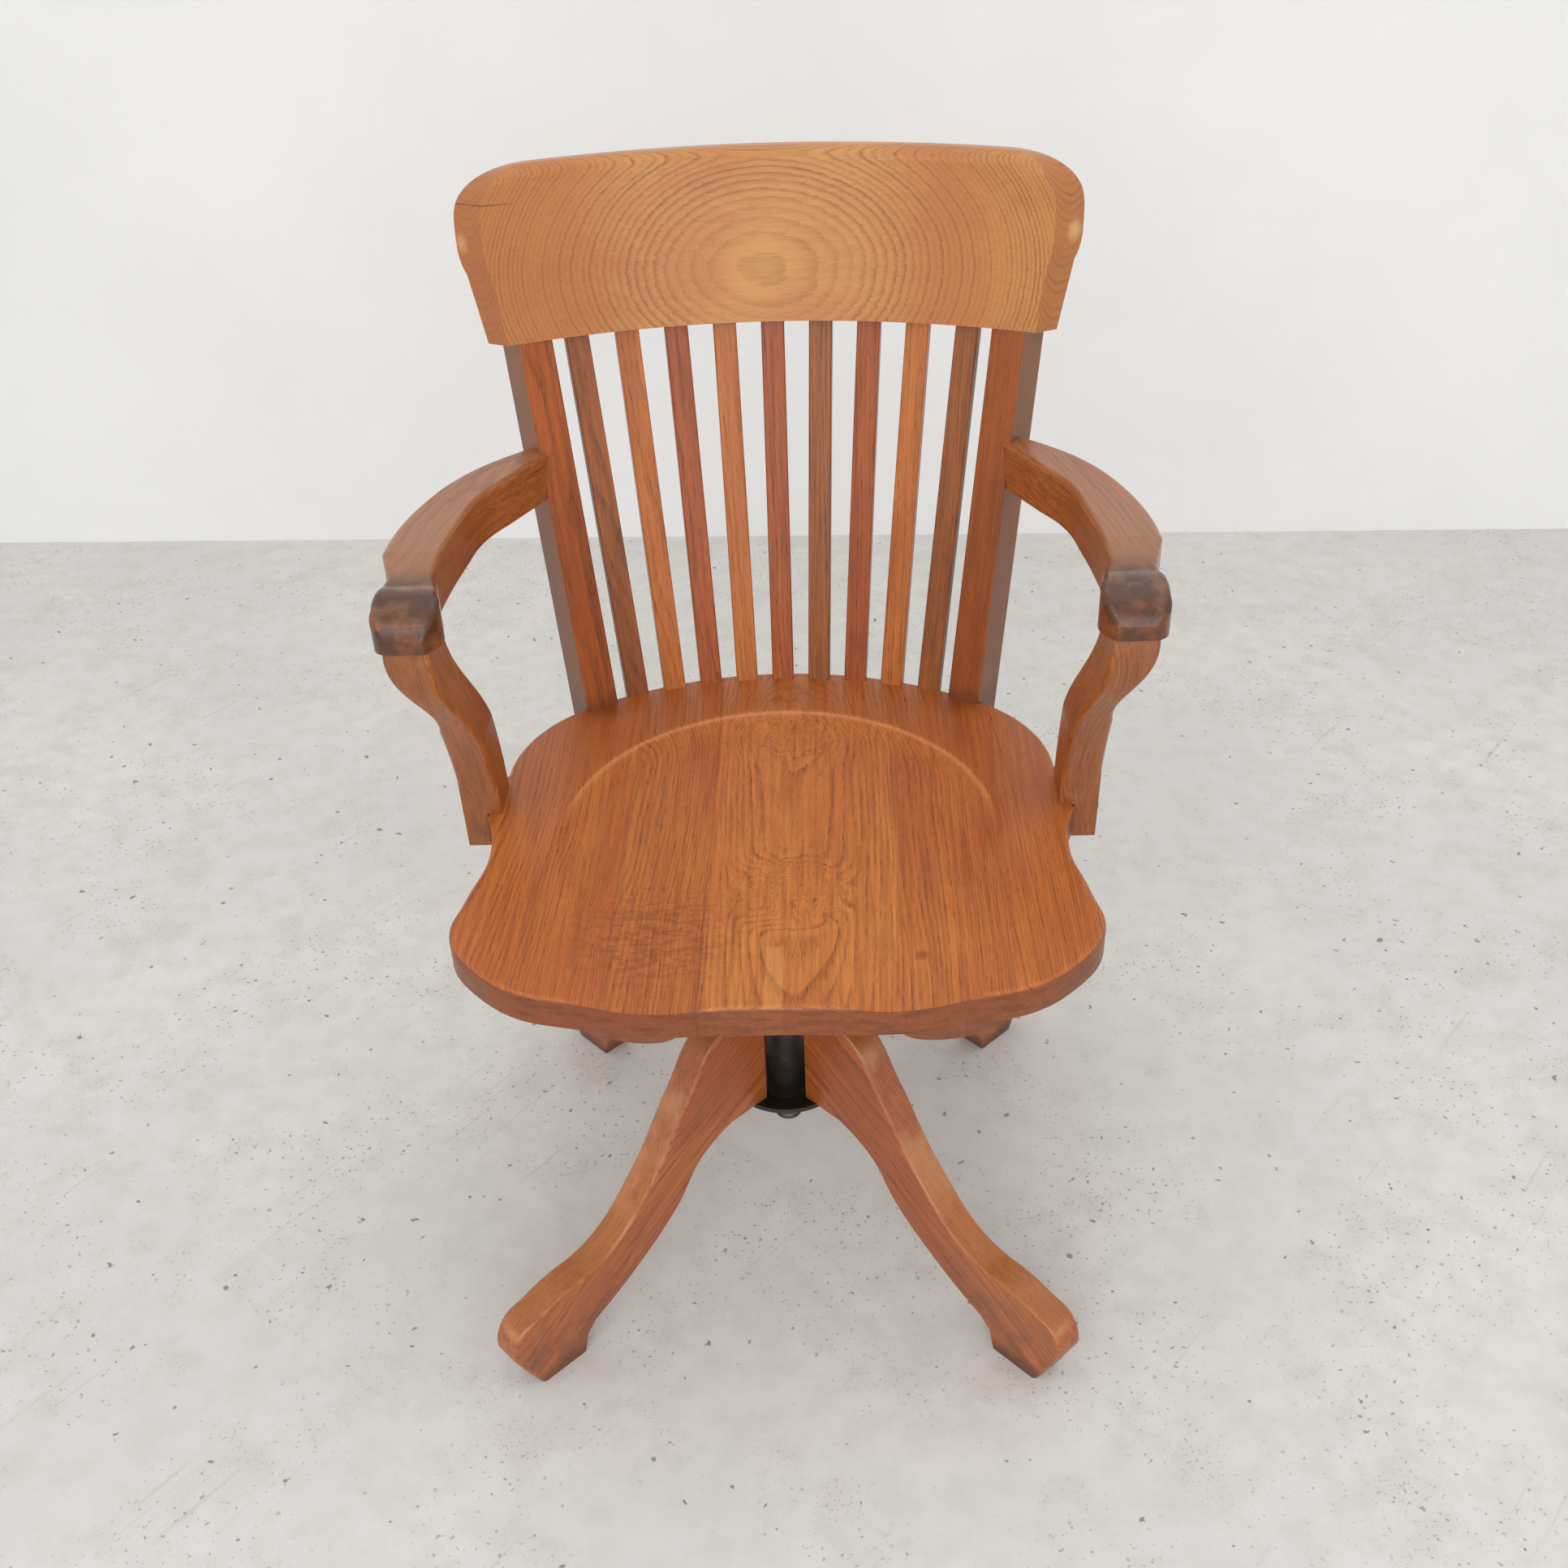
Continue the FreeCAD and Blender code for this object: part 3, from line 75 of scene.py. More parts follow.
class Graph:
    """A short way to write one material's node tree."""

    def __init__(self, name: str) -> None:
        """Start an empty tree with its output and its main shader."""
        self.material = bpy.data.materials.new(name)
        self.material.use_nodes = True
        self.tree = self.material.node_tree
        self.tree.nodes.clear()
        self.shader = self.tree.nodes.new("ShaderNodeBsdfPrincipled")
        output = self.tree.nodes.new("ShaderNodeOutputMaterial")
        self.join(self.shader.outputs["BSDF"], output.inputs["Surface"])
        places = self.tree.nodes.new("ShaderNodeTexCoord")
        self.position = places.outputs["Object"]
        self.facing = places.outputs["Normal"]

    def join(self, source: Socket | float | Triple, target: Socket) -> None:
        """Link a socket to an input, or write a plain value into it."""
        if isinstance(source, bpy.types.NodeSocket):
            self.tree.links.new(source, target)
        elif isinstance(source, tuple) and target.type == "RGBA":
            target.default_value = (*source, 1.0)
        else:
            target.default_value = source

    def maths(self, operation: str, first: Socket | float, second: Socket | float = 0.0,
              third: Socket | float = 0.0) -> Socket:
        """Add a Math node.

        Args:
            operation: the Math node's operation.
            first: its first value.
            second: its second value.
            third: its third value.

        Returns:
            The node's value socket.
        """
        node = self.tree.nodes.new("ShaderNodeMath")
        node.operation = operation
        for socket, value in zip(node.inputs, (first, second, third)):
            self.join(value, socket)
        return node.outputs[0]

    def total(self, first: Socket | float, *others: Socket | float) -> Socket:
        """Add any number of values together."""
        result = first
        for other in others:
            result = self.maths("ADD", result, other)
        return result

    def product(self, first: Socket | float, *others: Socket | float) -> Socket:
        """Multiply any number of values together."""
        result = first
        for other in others:
            result = self.maths("MULTIPLY", result, other)
        return result

    def size(self, value: Socket) -> Socket:
        """Drop a value's sign."""
        return self.maths("ABSOLUTE", value)

    def ramp(self, value: Socket | float, low: float, high: float, start: float = 0.0,
             end: float = 1.0) -> Socket:
        """Map a value from one range to another, easing in and out and held at both ends.

        Args:
            value: the value to map.
            low: the value that gives start.
            high: the value that gives end.
            start: the result at low.
            end: the result at high.

        Returns:
            The mapped value's socket.
        """
        node = self.tree.nodes.new("ShaderNodeMapRange")
        node.interpolation_type = "SMOOTHSTEP"
        for name, number in (("From Min", low), ("From Max", high), ("To Min", start), ("To Max", end)):
            node.inputs[name].default_value = number
        self.join(value, node.inputs["Value"])
        return node.outputs["Result"]

    def fall(self, value: Socket | float, low: float, high: float) -> Socket:
        """Give 1 below one value and 0 above another."""
        return self.ramp(value, low, high, 1.0, 0.0)

    def axes(self, vector: Socket) -> list[Socket]:
        """Split a vector into its three values."""
        node = self.tree.nodes.new("ShaderNodeSeparateXYZ")
        self.join(vector, node.inputs[0])
        return list(node.outputs)

    def vector(self, x: Socket | float, y: Socket | float, z: Socket | float) -> Socket:
        """Make a vector from three values."""
        node = self.tree.nodes.new("ShaderNodeCombineXYZ")
        for socket, value in zip(node.inputs, (x, y, z)):
            self.join(value, socket)
        return node.outputs[0]

    def across(self, operation: str, vector: Socket, numbers: Triple) -> bpy.types.Node:
        """Add a Vector Math node that works on a vector with three plain numbers."""
        node = self.tree.nodes.new("ShaderNodeVectorMath")
        node.operation = operation
        self.join(vector, node.inputs[0])
        node.inputs[1].default_value = numbers
        return node

    def turned(self, place: Sequence[float], turn: Sequence[float]) -> Socket:
        """Give positions in a frame with its own origin and Euler turn.

        Args:
            place: the frame's origin in metres.
            turn: the frame's Euler angles in radians.

        Returns:
            The socket of the position in that frame.
        """
        node = self.tree.nodes.new("ShaderNodeMapping")
        node.vector_type = "TEXTURE"
        node.inputs["Location"].default_value = place
        node.inputs["Rotation"].default_value = turn
        self.join(self.position, node.inputs["Vector"])
        return node.outputs[0]

    def noise(self, vector: Socket, counts: Triple | float, detail: float = 2.0,
              roughness: float = 0.5) -> Socket:
        """Add a noise texture.

        Args:
            vector: where the noise is read.
            counts: how many features a metre holds, as one number or one for each axis.
            detail: how many finer layers the noise has.
            roughness: how strong the finer layers are.

        Returns:
            The noise's value socket.
        """
        factors = counts if isinstance(counts, tuple) else (counts, counts, counts)
        node = self.tree.nodes.new("ShaderNodeTexNoise")
        node.inputs["Scale"].default_value = 1.0
        node.inputs["Detail"].default_value = detail
        node.inputs["Roughness"].default_value = roughness
        self.join(self.across("MULTIPLY", vector, factors).outputs[0], node.inputs["Vector"])
        return node.outputs[0]

    def chance(self, number: Socket) -> Socket:
        """Give one random value for each whole number."""
        node = self.tree.nodes.new("ShaderNodeTexWhiteNoise")
        node.noise_dimensions = "1D"
        self.join(number, node.inputs["W"])
        return node.outputs["Value"]

    def blend(self, share: Socket | float, first: Socket | Triple, second: Socket | Triple,
              way: str = "MIX") -> Socket:
        """Blend two colours by a share."""
        node = self.tree.nodes.new("ShaderNodeMix")
        node.data_type = "RGBA"
        node.blend_type = way
        for index, value in ((0, share), (6, first), (7, second)):
            self.join(value, node.inputs[index])
        return node.outputs[2]

    def stain(self, colour: Socket | Triple, mask: Socket, strength: float, tone: Triple) -> Socket:
        """Lay a tone over a colour where a mask is, at a strength."""
        return self.blend(self.product(mask, strength), colour, tone)

    def steps(self, value: Socket, stops: Sequence[tuple[float, Triple]]) -> Socket:
        """Give a colour that changes at set places along a value.

        Args:
            value: a value from 0 to 1.
            stops: pairs of a place and the colour from there on.

        Returns:
            The colour socket.
        """
        node = self.tree.nodes.new("ShaderNodeValToRGB")
        node.color_ramp.interpolation = "CONSTANT"
        elements = node.color_ramp.elements
        while len(elements) < len(stops):
            elements.new(0.5)
        for element, (place, colour) in zip(elements, stops):
            element.position = place
            element.color = (*colour, 1.0)
        self.join(value, node.inputs[0])
        return node.outputs[0]

    def ball(self, centre: Triple, reach: float, soft: float) -> Socket:
        """Give 1 near a point, fading to 0 at a distance.

        Args:
            centre: the point in metres.
            reach: the distance where the value is 0.
            soft: the share of the reach over which it fades.

        Returns:
            The mask's socket.
        """
        distance = self.across("DISTANCE", self.position, centre).outputs["Value"]
        return self.fall(distance, reach * (1 - soft), reach)

    def bump(self, height: Socket, strength: float, distance: float) -> None:
        """Drive the shader's normal with a height."""
        node = self.tree.nodes.new("ShaderNodeBump")
        node.inputs["Strength"].default_value = strength
        node.inputs["Distance"].default_value = distance
        self.join(height, node.inputs["Height"])
        self.join(node.outputs[0], self.shader.inputs["Normal"])


@dataclass(frozen=True)
class Mark:
    """A round mark on the wood: its centre, reach, softness, strength and tone."""

    centre: Triple
    reach: float
    soft: float
    strength: float
    tone: Triple

    def lay(self, g: Graph, colour: Socket) -> Socket:
        """Lay the mark over a colour."""
        return g.stain(colour, g.ball(self.centre, self.reach, self.soft), self.strength, self.tone)


@dataclass(frozen=True)
class Grain:
    """Where a piece's grain lies: origin, direction along it, depth direction, and the rings' form."""

    origin: Triple
    along: Triple
    depth: Triple
    spacing: float
    across_bend: float
    along_bend: float
    tilt: float
    climb: float = 0.0
    wander: float = 1.0
    teeth: float = 0.0

    def turn(self) -> Triple:
        """Return the Euler turn whose Y runs along the grain and whose Z is the depth."""
        along = Vector(self.along).normalized()
        depth = Vector(self.depth)
        depth = (depth - along * depth.dot(along)).normalized()
        across = along.cross(depth)
        return tuple(Matrix((across, along, depth)).transposed().to_euler())


@dataclass(frozen=True)
class OakFinish:
    """Varnished oak: ring bands, open pores, streaks, tone patches and sheen."""

    name: str
    pale: Triple
    dark: Triple
    warm: Triple
    ring_depth: float = 0.5
    ring_kept: float = 0.35
    pore_depth: float = 0.62
    streak: float = 0.5
    patch: float = 0.6
    roughness: float = 0.42
    coat: float = 0.14

    def rings(self, g: Graph, grain: Grain, where: Socket) -> Socket:
        """Work out how far a point lies through the growth rings.

        The ring number is (depth + tilt * across + climb * along + across squared * bend + along squared *
        bend + a slow and a quick wander + the rings' fine teeth) over the ring spacing. A small tilt gives
        arches, a large tilt straight lines, and two bends of one sign ovals where the face touches the
        rings.

        Args:
            g: the material's graph.
            grain: where the grain lies.
            where: the position in the grain's frame.

        Returns:
            The ring number's socket.
        """
        across, along, depth = g.axes(where)
        slow = g.noise(where, SLOW_WANDER)
        quick = g.noise(where, QUICK_WANDER, 1.0)
        wander = g.total(g.maths("MULTIPLY_ADD", slow, 0.020 * grain.wander, -0.010 * grain.wander),
                         g.product(quick, 0.0018 * grain.wander))
        if grain.teeth:
            wander = g.total(wander, g.product(g.noise(where, RING_TEETH, 1.0), grain.teeth))
        tilted = g.total(g.product(across, grain.tilt), g.product(along, grain.climb))
        bowed = g.product(across, across, grain.across_bend)
        arched = g.product(along, along, grain.along_bend)
        return g.maths("DIVIDE", g.total(depth, tilted, bowed, arched, wander), grain.spacing)

    def shade(self, g: Graph, ring: Socket, where: Socket) -> tuple[Socket, Socket]:
        """Colour the wood from its ring number.

        Each ring starts with a dark band of open pores and pales towards its outer edge, each ring has its
        own strength, pores are short dark dashes along the grain, and streaks are longer and fainter.

        Args:
            g: the material's graph.
            ring: the ring number.
            where: the position in the grain's frame.

        Returns:
            The colour and the height for the bump.
        """
        part = g.maths("FRACT", ring)
        early = g.product(g.ramp(part, 0.0, 0.1), g.fall(part, 0.1, 0.65))
        strength = g.maths("MULTIPLY_ADD", g.chance(g.maths("FLOOR", ring)), 0.75, 0.25)
        broken = g.ramp(g.noise(where, RING_BREAKS), 0.32, 0.62, self.ring_kept, 1.0)
        band = g.product(early, strength, broken)
        pores = g.product(g.ramp(g.noise(where, PORE_DASHES, 1.0), 0.53, 0.66),
                          g.maths("MULTIPLY_ADD", band, 0.95, 0.22))
        hairs = g.ramp(g.noise(where, FINE_HAIRS, 0.0), 0.55, 0.7)
        streaks = g.noise(where, LONG_STREAKS, 3.0, 0.65)
        flecks = g.ramp(g.noise(where, RAY_FLECKS, 0.0), 0.66, 0.74)
        patches = g.ramp(g.noise(where, TONE_PATCHES, 3.0, 0.6), 0.38, 0.66)
        deep = tuple(c * 0.35 for c in self.dark)
        body = g.stain(self.pale, patches, self.patch, self.warm)
        body = g.blend(g.ramp(streaks, 0.32, 0.72, 0.0, self.streak), body, self.dark)
        body = g.stain(body, band, self.ring_depth, self.dark)
        body = g.stain(body, flecks, 0.25, self.pale)
        body = g.stain(body, hairs, 0.14, deep)
        body = g.stain(body, pores, self.pore_depth, deep)
        height = g.total(g.product(pores, -1.0), g.product(band, -0.35), g.product(streaks, 0.3))
        return body, height

    def board(self, name: str, grain: Grain, shift: float = 0.0) -> tuple[Graph, Socket, Socket]:
        """Start the material of a piece cut from one board.

        Args:
            name: the material's name.
            grain: where the grain lies.
            shift: how much deeper in the log the board was, in metres.

        Returns:
            The material's graph, its colour and its height for the bump.
        """
        g = Graph(name)
        where = g.turned(grain.origin, grain.turn())
        if shift:
            where = g.across("ADD", where, (0.0, 0.0, shift)).outputs[0]
        colour, height = self.shade(g, self.rings(g, grain, where), where)
        return g, colour, height

    def finish(self, g: Graph, colour: Socket, height: Socket,
               rough: Socket | None = None) -> bpy.types.Material:
        """Send the colour, the bump and the varnish to the shader.

        Args:
            g: the material's graph.
            colour: the wood's colour.
            height: the height for the bump.
            rough: the varnish's roughness, or None where it is the same all over.

        Returns:
            The finished material.
        """
        inputs = g.shader.inputs
        g.join(colour, inputs["Base Color"])
        g.join(self.roughness if rough is None else rough, inputs["Roughness"])
        g.bump(height, 0.35, 0.0004)
        inputs["Specular IOR Level"].default_value = 0.35
        inputs["Coat Weight"].default_value = self.coat
        inputs["Coat Roughness"].default_value = 0.3
        return g.material


SEAT_OAK = OakFinish("seat oak", linear(203, 122, 55), linear(126, 60, 22), linear(186, 96, 42),
                     ring_depth=0.62)
CREST_OAK = OakFinish("crest oak", linear(202, 142, 80), linear(122, 70, 34), linear(184, 108, 60),
                      ring_depth=0.66, ring_kept=0.8, pore_depth=0.22, streak=0.15, patch=0.5, coat=0.2)
POST_OAK = OakFinish("post oak", linear(178, 92, 36), linear(106, 54, 22), linear(150, 74, 28), coat=0.2)
ARM_OAK = OakFinish("arm oak", linear(176, 104, 52), linear(100, 54, 26), linear(158, 84, 40),
                    roughness=0.32, coat=0.35)
LEG_OAK = OakFinish("leg oak", linear(186, 106, 50), linear(108, 52, 26), linear(164, 80, 42),
                    roughness=0.34, coat=0.35)


class Board(Enum):
    """The finish of the board that a slat was ripped from."""

    GOLDEN = OakFinish("golden", linear(196, 116, 52), linear(132, 70, 28), linear(178, 92, 38), coat=0.2)
    RED = OakFinish("red", linear(176, 90, 38), linear(98, 46, 20), linear(152, 70, 28), coat=0.2)
    BROWN = OakFinish("brown", linear(160, 92, 42), linear(92, 52, 24), linear(142, 74, 32), coat=0.2)


@dataclass(frozen=True)
class IronFinish:
    """Old painted or bare metal with dull, browned patches."""

    name: str
    base: Triple
    brown: Triple
    metallic: float
    roughness: float

    def material(self) -> bpy.types.Material:
        """Make the metal's material."""
        g = Graph(self.name)
        spots = g.noise(g.position, 60.0, 5.0, 0.65)
        grit = g.noise(g.position, 420.0)
        g.join(g.blend(g.ramp(spots, 0.5, 0.68, 0.0, 0.8), self.base, self.brown),
               g.shader.inputs["Base Color"])
        g.join(g.ramp(spots, 0.35, 0.7, self.roughness, self.roughness + 0.25),
               g.shader.inputs["Roughness"])
        g.shader.inputs["Metallic"].default_value = self.metallic
        g.bump(grit, 0.25, 0.0003)
        return g.material


BLACK_IRON = IronFinish("black iron", linear(52, 48, 46), linear(78, 56, 42), 0.3, 0.4)
WORN_STEEL = IronFinish("worn steel", linear(96, 90, 84), linear(78, 54, 38), 0.85, 0.38)
SCREW_STEEL = IronFinish("screw steel", linear(88, 80, 72), linear(64, 44, 32), 0.85, 0.45)


def dress(node: str, material: bpy.types.Material) -> None:
    """Give one CAD node a material in place of its plain one."""
    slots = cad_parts[node].data.materials
    slots.clear()
    slots.append(material)
    LOG.info("dressed %s", node)


@dataclass
class Seat:
    """The scooped seat, glued up from five boards whose grain runs from front to back."""

    joints: tuple[float, ...] = (-0.134, -0.059, 0.101, 0.186)
    hearts: tuple[float, ...] = (-0.29, -0.18, 0.018, 0.055, 0.115)
    tones: tuple[Triple, ...] = ((0.96, 0.90, 0.88), (0.93, 0.91, 0.90), (1.06, 1.10, 1.12),
                                 (0.95, 0.90, 0.88), (0.95, 0.88, 0.84))
    brightest_tone: float = 1.2
    reach: float = 0.28
    top: float = SEAT_TOP
    board_shift: float = 0.37
    knot: Triple = (0.012, -0.058, 0.398)
    arch: Triple = (0.009, 0.200, 0.400)
    worn: Triple = (-0.098, -0.115, 0.398)
    insert_half: float = 0.007
    insert_front: float = -0.130
    spots: tuple[tuple[Triple, float], ...] = (
        ((0.164, -0.043, 0.398), 0.004), ((0.117, -0.140, 0.398), 0.009),
        ((0.004, -0.062, 0.398), 0.005), ((0.028, -0.090, 0.397), 0.005))
    post_places: tuple[float, float] = (-0.172, 0.172)
    post_depth: float = 0.236

    def marks(self) -> list[Mark]:
        """List the knot's dark heart, the black spots and the painted shade round the posts."""
        x, y, z = self.knot
        heart = Mark((x, y, z - 0.002), 0.009, 0.8, 0.7, linear(84, 44, 20))
        spots = [Mark(place, reach, 0.7, 0.65, linear(66, 34, 16)) for place, reach in self.spots]
        # Painted shade: a dark ring on the seat round the foot of each post.
        post_darkening = [Mark((x, self.post_depth, self.top), 0.034, 0.9, 0.6, linear(92, 46, 20))
                 for x in self.post_places]
        return [heart, *spots, *post_darkening]

    def boards(self, g: Graph) -> tuple[Socket, Socket, Socket]:
        """Colour the five boards, each with its own heart, offset and tone.

        Args:
            g: the seat's graph.

        Returns:
            The colour, the height for the bump, and the distance to the nearest joint.
        """
        grain = Grain((0.0, 0.0, self.top), (0, 1, 0), (0, 0, 1), spacing=0.0030, across_bend=4.5,
                      along_bend=0.10, tilt=0.0, climb=-0.03, wander=0.8)
        x, y, z = g.axes(g.position)
        share = g.maths("MULTIPLY_ADD", x, 0.5 / self.reach, 0.5)
        cuts = [0.0, *(0.5 + joint * 0.5 / self.reach for joint in self.joints)]
        heart = g.steps(share, [(cut, (0.5 + place,) * 3) for cut, place in zip(cuts, self.hearts)])
        number = g.steps(share, [(cut, (index / 5,) * 3) for index, cut in enumerate(cuts)])
        tone = g.steps(share, [(cut, tuple(c / self.brightest_tone for c in tone))
                               for cut, tone in zip(cuts, self.tones)])
        lift = g.product(g.axes(number)[0], self.board_shift)
        where = g.vector(g.maths("SUBTRACT", x, g.total(g.axes(heart)[0], -0.5)), g.total(y, lift),
                         g.total(z, g.product(lift, 0.11), -self.top))
        torn = g.ramp(g.noise(g.position, (38.0, 24.0, 38.0), 3.0, 0.6), 0.3, 0.7, 0.25, 1.3)
        knot = g.product(g.ball(self.knot, 0.07, 1.0), torn, 0.020)
        arch = g.product(g.ball(self.arch, 0.09, 1.0), torn, -0.012)
        swirl = g.maths("DIVIDE", g.total(knot, arch), grain.spacing)
        ring = g.total(SEAT_OAK.rings(g, grain, where), swirl)
        colour, height = SEAT_OAK.shade(g, ring, where)
        tone = g.blend(1.0, tone, (self.brightest_tone,) * 3, "MULTIPLY")
        colour = g.blend(1.0, colour, tone, "MULTIPLY")
        gap = g.size(g.total(x, -self.joints[0]))
        for joint in self.joints[1:]:
            gap = g.maths("MINIMUM", gap, g.size(g.total(x, -joint)))
        return colour, height, gap

    def edges(self, g: Graph, colour: Socket) -> Socket:
        """Darken the rear ledge and the upright sides, and pale the ledge's rim, part wear and part
        painted highlight.

        Args:
            g: the seat's graph.
            colour: the colour so far.

        Returns:
            The new colour.
        """
        y, z = g.axes(g.position)[1:]
        ledge = g.product(g.ramp(z, self.top - 0.0012, self.top - 0.0003), g.ramp(y, 0.0, 0.09))
        colour = g.stain(colour, ledge, 0.35, linear(146, 74, 32))
        # A thin pale line on the rim, part wear and part painted highlight.
        rim = g.product(g.ramp(z, self.top - 0.0030, self.top - 0.0014),
                        g.fall(z, self.top - 0.0014, self.top - 0.0006), g.ramp(y, 0.03, 0.1))
        colour = g.stain(colour, rim, 0.4, linear(222, 158, 96))
        upright = g.fall(g.axes(g.facing)[2], 0.25, 0.75)
        colour = g.stain(colour, upright, 0.72, linear(110, 54, 30))
        scuffed = g.ramp(g.noise(g.position, (30.0, 30.0, 160.0), 3.0), 0.45, 0.62)
        return g.stain(colour, g.product(upright, scuffed), 0.4, linear(86, 44, 26))

    def material(self) -> bpy.types.Material:
        """Make the seat's material: boards, joints, worn patch, insert, marks and edges."""
        g = Graph(SEAT_OAK.name)
        x, y = g.axes(g.position)[:2]
        colour, height, gap = self.boards(g)
        seam = g.fall(gap, 0.0002, 0.0007)
        colour = g.stain(colour, seam, 0.35, SEAT_OAK.dark)
        curls = g.ramp(g.noise(g.position, (90.0, 210.0, 90.0), 3.0, 0.6), 0.42, 0.62)
        worn = g.product(g.ball(self.worn, 0.10, 0.8), curls)
        colour = g.stain(colour, worn, 0.5, linear(120, 66, 32))
        insert = g.product(g.fall(g.size(x), self.insert_half - 0.0005, self.insert_half + 0.0005),
                           g.fall(y, self.insert_front - 0.001, self.insert_front + 0.001))
        colour = g.stain(colour, insert, 0.35, linear(214, 148, 80))
        for mark in self.marks():
            colour = mark.lay(g, colour)
        colour = self.edges(g, colour)
        rough = g.ramp(worn, 0.0, 1.0, SEAT_OAK.roughness, 0.7)
        height = g.total(height, g.product(worn, -1.5), g.product(seam, -2.0))
        return SEAT_OAK.finish(g, colour, height, rough)

    def build(self) -> None:
        """Dress the seat."""
        dress("seat", self.material())


@dataclass
class Back:
    """The crest rail, the nine slats and the two posts."""

    rake: float = math.radians(9)
    crest_origin: Triple = (-0.014, 0.338, 0.750)
    oval_height: float = 0.047
    crack_height: float = 0.066
    end_arc: float = 0.0075
    worn_and_highlight_spots: tuple[tuple[float, float], ...] = ((-0.271, 0.087), (0.265, 0.085))
    slat_width: float = 0.021
    slat_rake: float = 0.072
    post_rake: float = 0.056
    post_spread: float = 0.0345
    board_step: float = 0.0289
    boards: tuple[Board, ...] = (Board.BROWN, Board.GOLDEN, Board.RED, Board.GOLDEN, Board.RED,
                                 Board.BROWN, Board.RED, Board.GOLDEN, Board.BROWN)

    def end_faces(self, g: Graph, where: Socket) -> tuple[Socket, Socket]:
        """Find the crest rail's two cut ends and the arcs of the rings on them.

        Args:
            g: the crest rail's graph.
            where: the position in the grain's frame.

        Returns:
            A mask of the end faces and the ring number on them.
        """
        rise, along, depth = g.axes(where)
        nx, ny, nz = g.axes(g.facing)
        x = g.axes(g.position)[0]
        outward = g.product(nx, g.maths("SIGN", x))
        end = g.product(g.ramp(outward, 0.2, 0.4), g.fall(ny, -0.1, 0.2))
        width = g.total(g.product(g.total(g.size(x), depth), math.sqrt(0.5)), -0.150)
        wobble = g.product(g.noise(where, 50.0, 1.0), 0.005)
        bowed = g.total(g.product(rise, -1.0), g.product(width, width, 28.0), wobble)
        return end, g.maths("DIVIDE", bowed, self.end_arc)

    def crest_material(self) -> bpy.types.Material:
        """Make the crest rail's material: ovals on its hollow face and stacked arcs on its two ends."""
        up = Vector((0.0, math.sin(self.rake), math.cos(self.rake)))
        into = (0.0, math.cos(self.rake), -math.sin(self.rake))
        foot = Vector(self.crest_origin)
        grain = Grain(tuple(foot + up * self.oval_height), (1, 0, 0), into, spacing=0.0021,
                      across_bend=-2.3, along_bend=-0.12, tilt=0.0, wander=0.22, teeth=0.0011)
        g = Graph(CREST_OAK.name)
        where = g.turned(grain.origin, grain.turn())
        rise, along, depth = g.axes(where)
        end, arcs = self.end_faces(g, where)
        face = g.product(CREST_OAK.rings(g, grain, where), g.maths("SUBTRACT", 1.0, end))
        colour, height = CREST_OAK.shade(g, g.total(face, g.product(arcs, end)), where)
        middle = Mark((foot.x, 0.345, 0.797), 0.05, 0.8, 0.4, linear(214, 160, 92))
        colour = middle.lay(g, colour)
        red = g.product(g.ramp(g.size(along), 0.09, 0.17), g.ramp(along, 0.17, 0.24, 0.42, 0.12))
        colour = g.blend(red, colour, linear(168, 88, 46))
        colour = g.stain(colour, end, 0.5, linear(166, 88, 26))
        # Pale spots near the top of each end, part wear and part painted highlight.
        for x, height_up in self.worn_and_highlight_spots:
            place = Vector((x, foot.y - 0.045, foot.z)) + up * height_up
            colour = Mark(tuple(place), 0.014, 0.9, 0.6, linear(232, 184, 122)).lay(g, colour)
        crack = g.product(g.fall(g.size(g.total(rise, -self.crack_height)), 0.0003, 0.0009),
                          g.fall(along, -0.215, -0.2))
        colour = g.stain(colour, crack, 0.6, linear(74, 40, 22))
        return CREST_OAK.finish(g, colour, height)

    def standing_grain(self, node: str) -> Grain:
        """Read a standing piece's direction from its box and give it upright grain."""
        low, high = (Vector(corner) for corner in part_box(node))
        middle = (low + high) / 2
        side = 1 if middle.x > 0.001 else -1
        if "slat" in node:
            spread, rake = max(high.x - low.x - self.slat_width, 0.0), self.slat_rake
        else:
            spread, rake = self.post_spread, self.post_rake
        return Grain(tuple(middle), (side * spread, rake, 0.37), (0.25, 1, 0), spacing=0.0032,
                     across_bend=3.0, along_bend=0.05, tilt=0.9)

    def post_material(self, node: str, side: int) -> bpy.types.Material:
        """Make one post's material, with the dull olive brown of its outer face.

        Args:
            node: the post's node.
            side: 1 for the right post and -1 for the left one.

        Returns:
            The material.
        """
        g, colour, height = POST_OAK.board(f"{node} oak", self.standing_grain(node))
        # The outer face, picked by which way it faces, is blended to a dull olive brown in mottled
        # patches.
        outer = g.ramp(g.product(g.axes(g.facing)[0], float(side)), 0.4, 0.7)
        post_darkening = g.ramp(g.noise(g.position, (26.0, 26.0, 9.0), 3.0), 0.3, 0.65, 0.45, 0.8)
        colour = g.blend(g.product(outer, post_darkening), colour, linear(106, 68, 36))
        if side > 0:
            colour = g.blend(0.3, colour, linear(118, 66, 26))
        # Painted shade: the post darkens over its lowest 2 cm, where it stands on the seat.
        foot = g.fall(g.axes(g.position)[2], SEAT_TOP, SEAT_TOP + 0.020)
        colour = g.stain(colour, foot, 0.5, linear(84, 42, 20))
        return POST_OAK.finish(g, colour, height)

    def build(self) -> None:
        """Dress the crest rail, the slats and the posts, each slat from its own board."""
        dress("crest_rail", self.crest_material())
        for number, board in enumerate(self.boards, start=1):
            node = f"slat_{number}"
            oak = board.value
            dress(node, oak.finish(*oak.board(f"{node} oak", self.standing_grain(node),
                                              number * self.board_step)))
        for name, side in (("left", -1), ("right", 1)):
            node = f"back_post_{name}"
            dress(node, self.post_material(node, side))


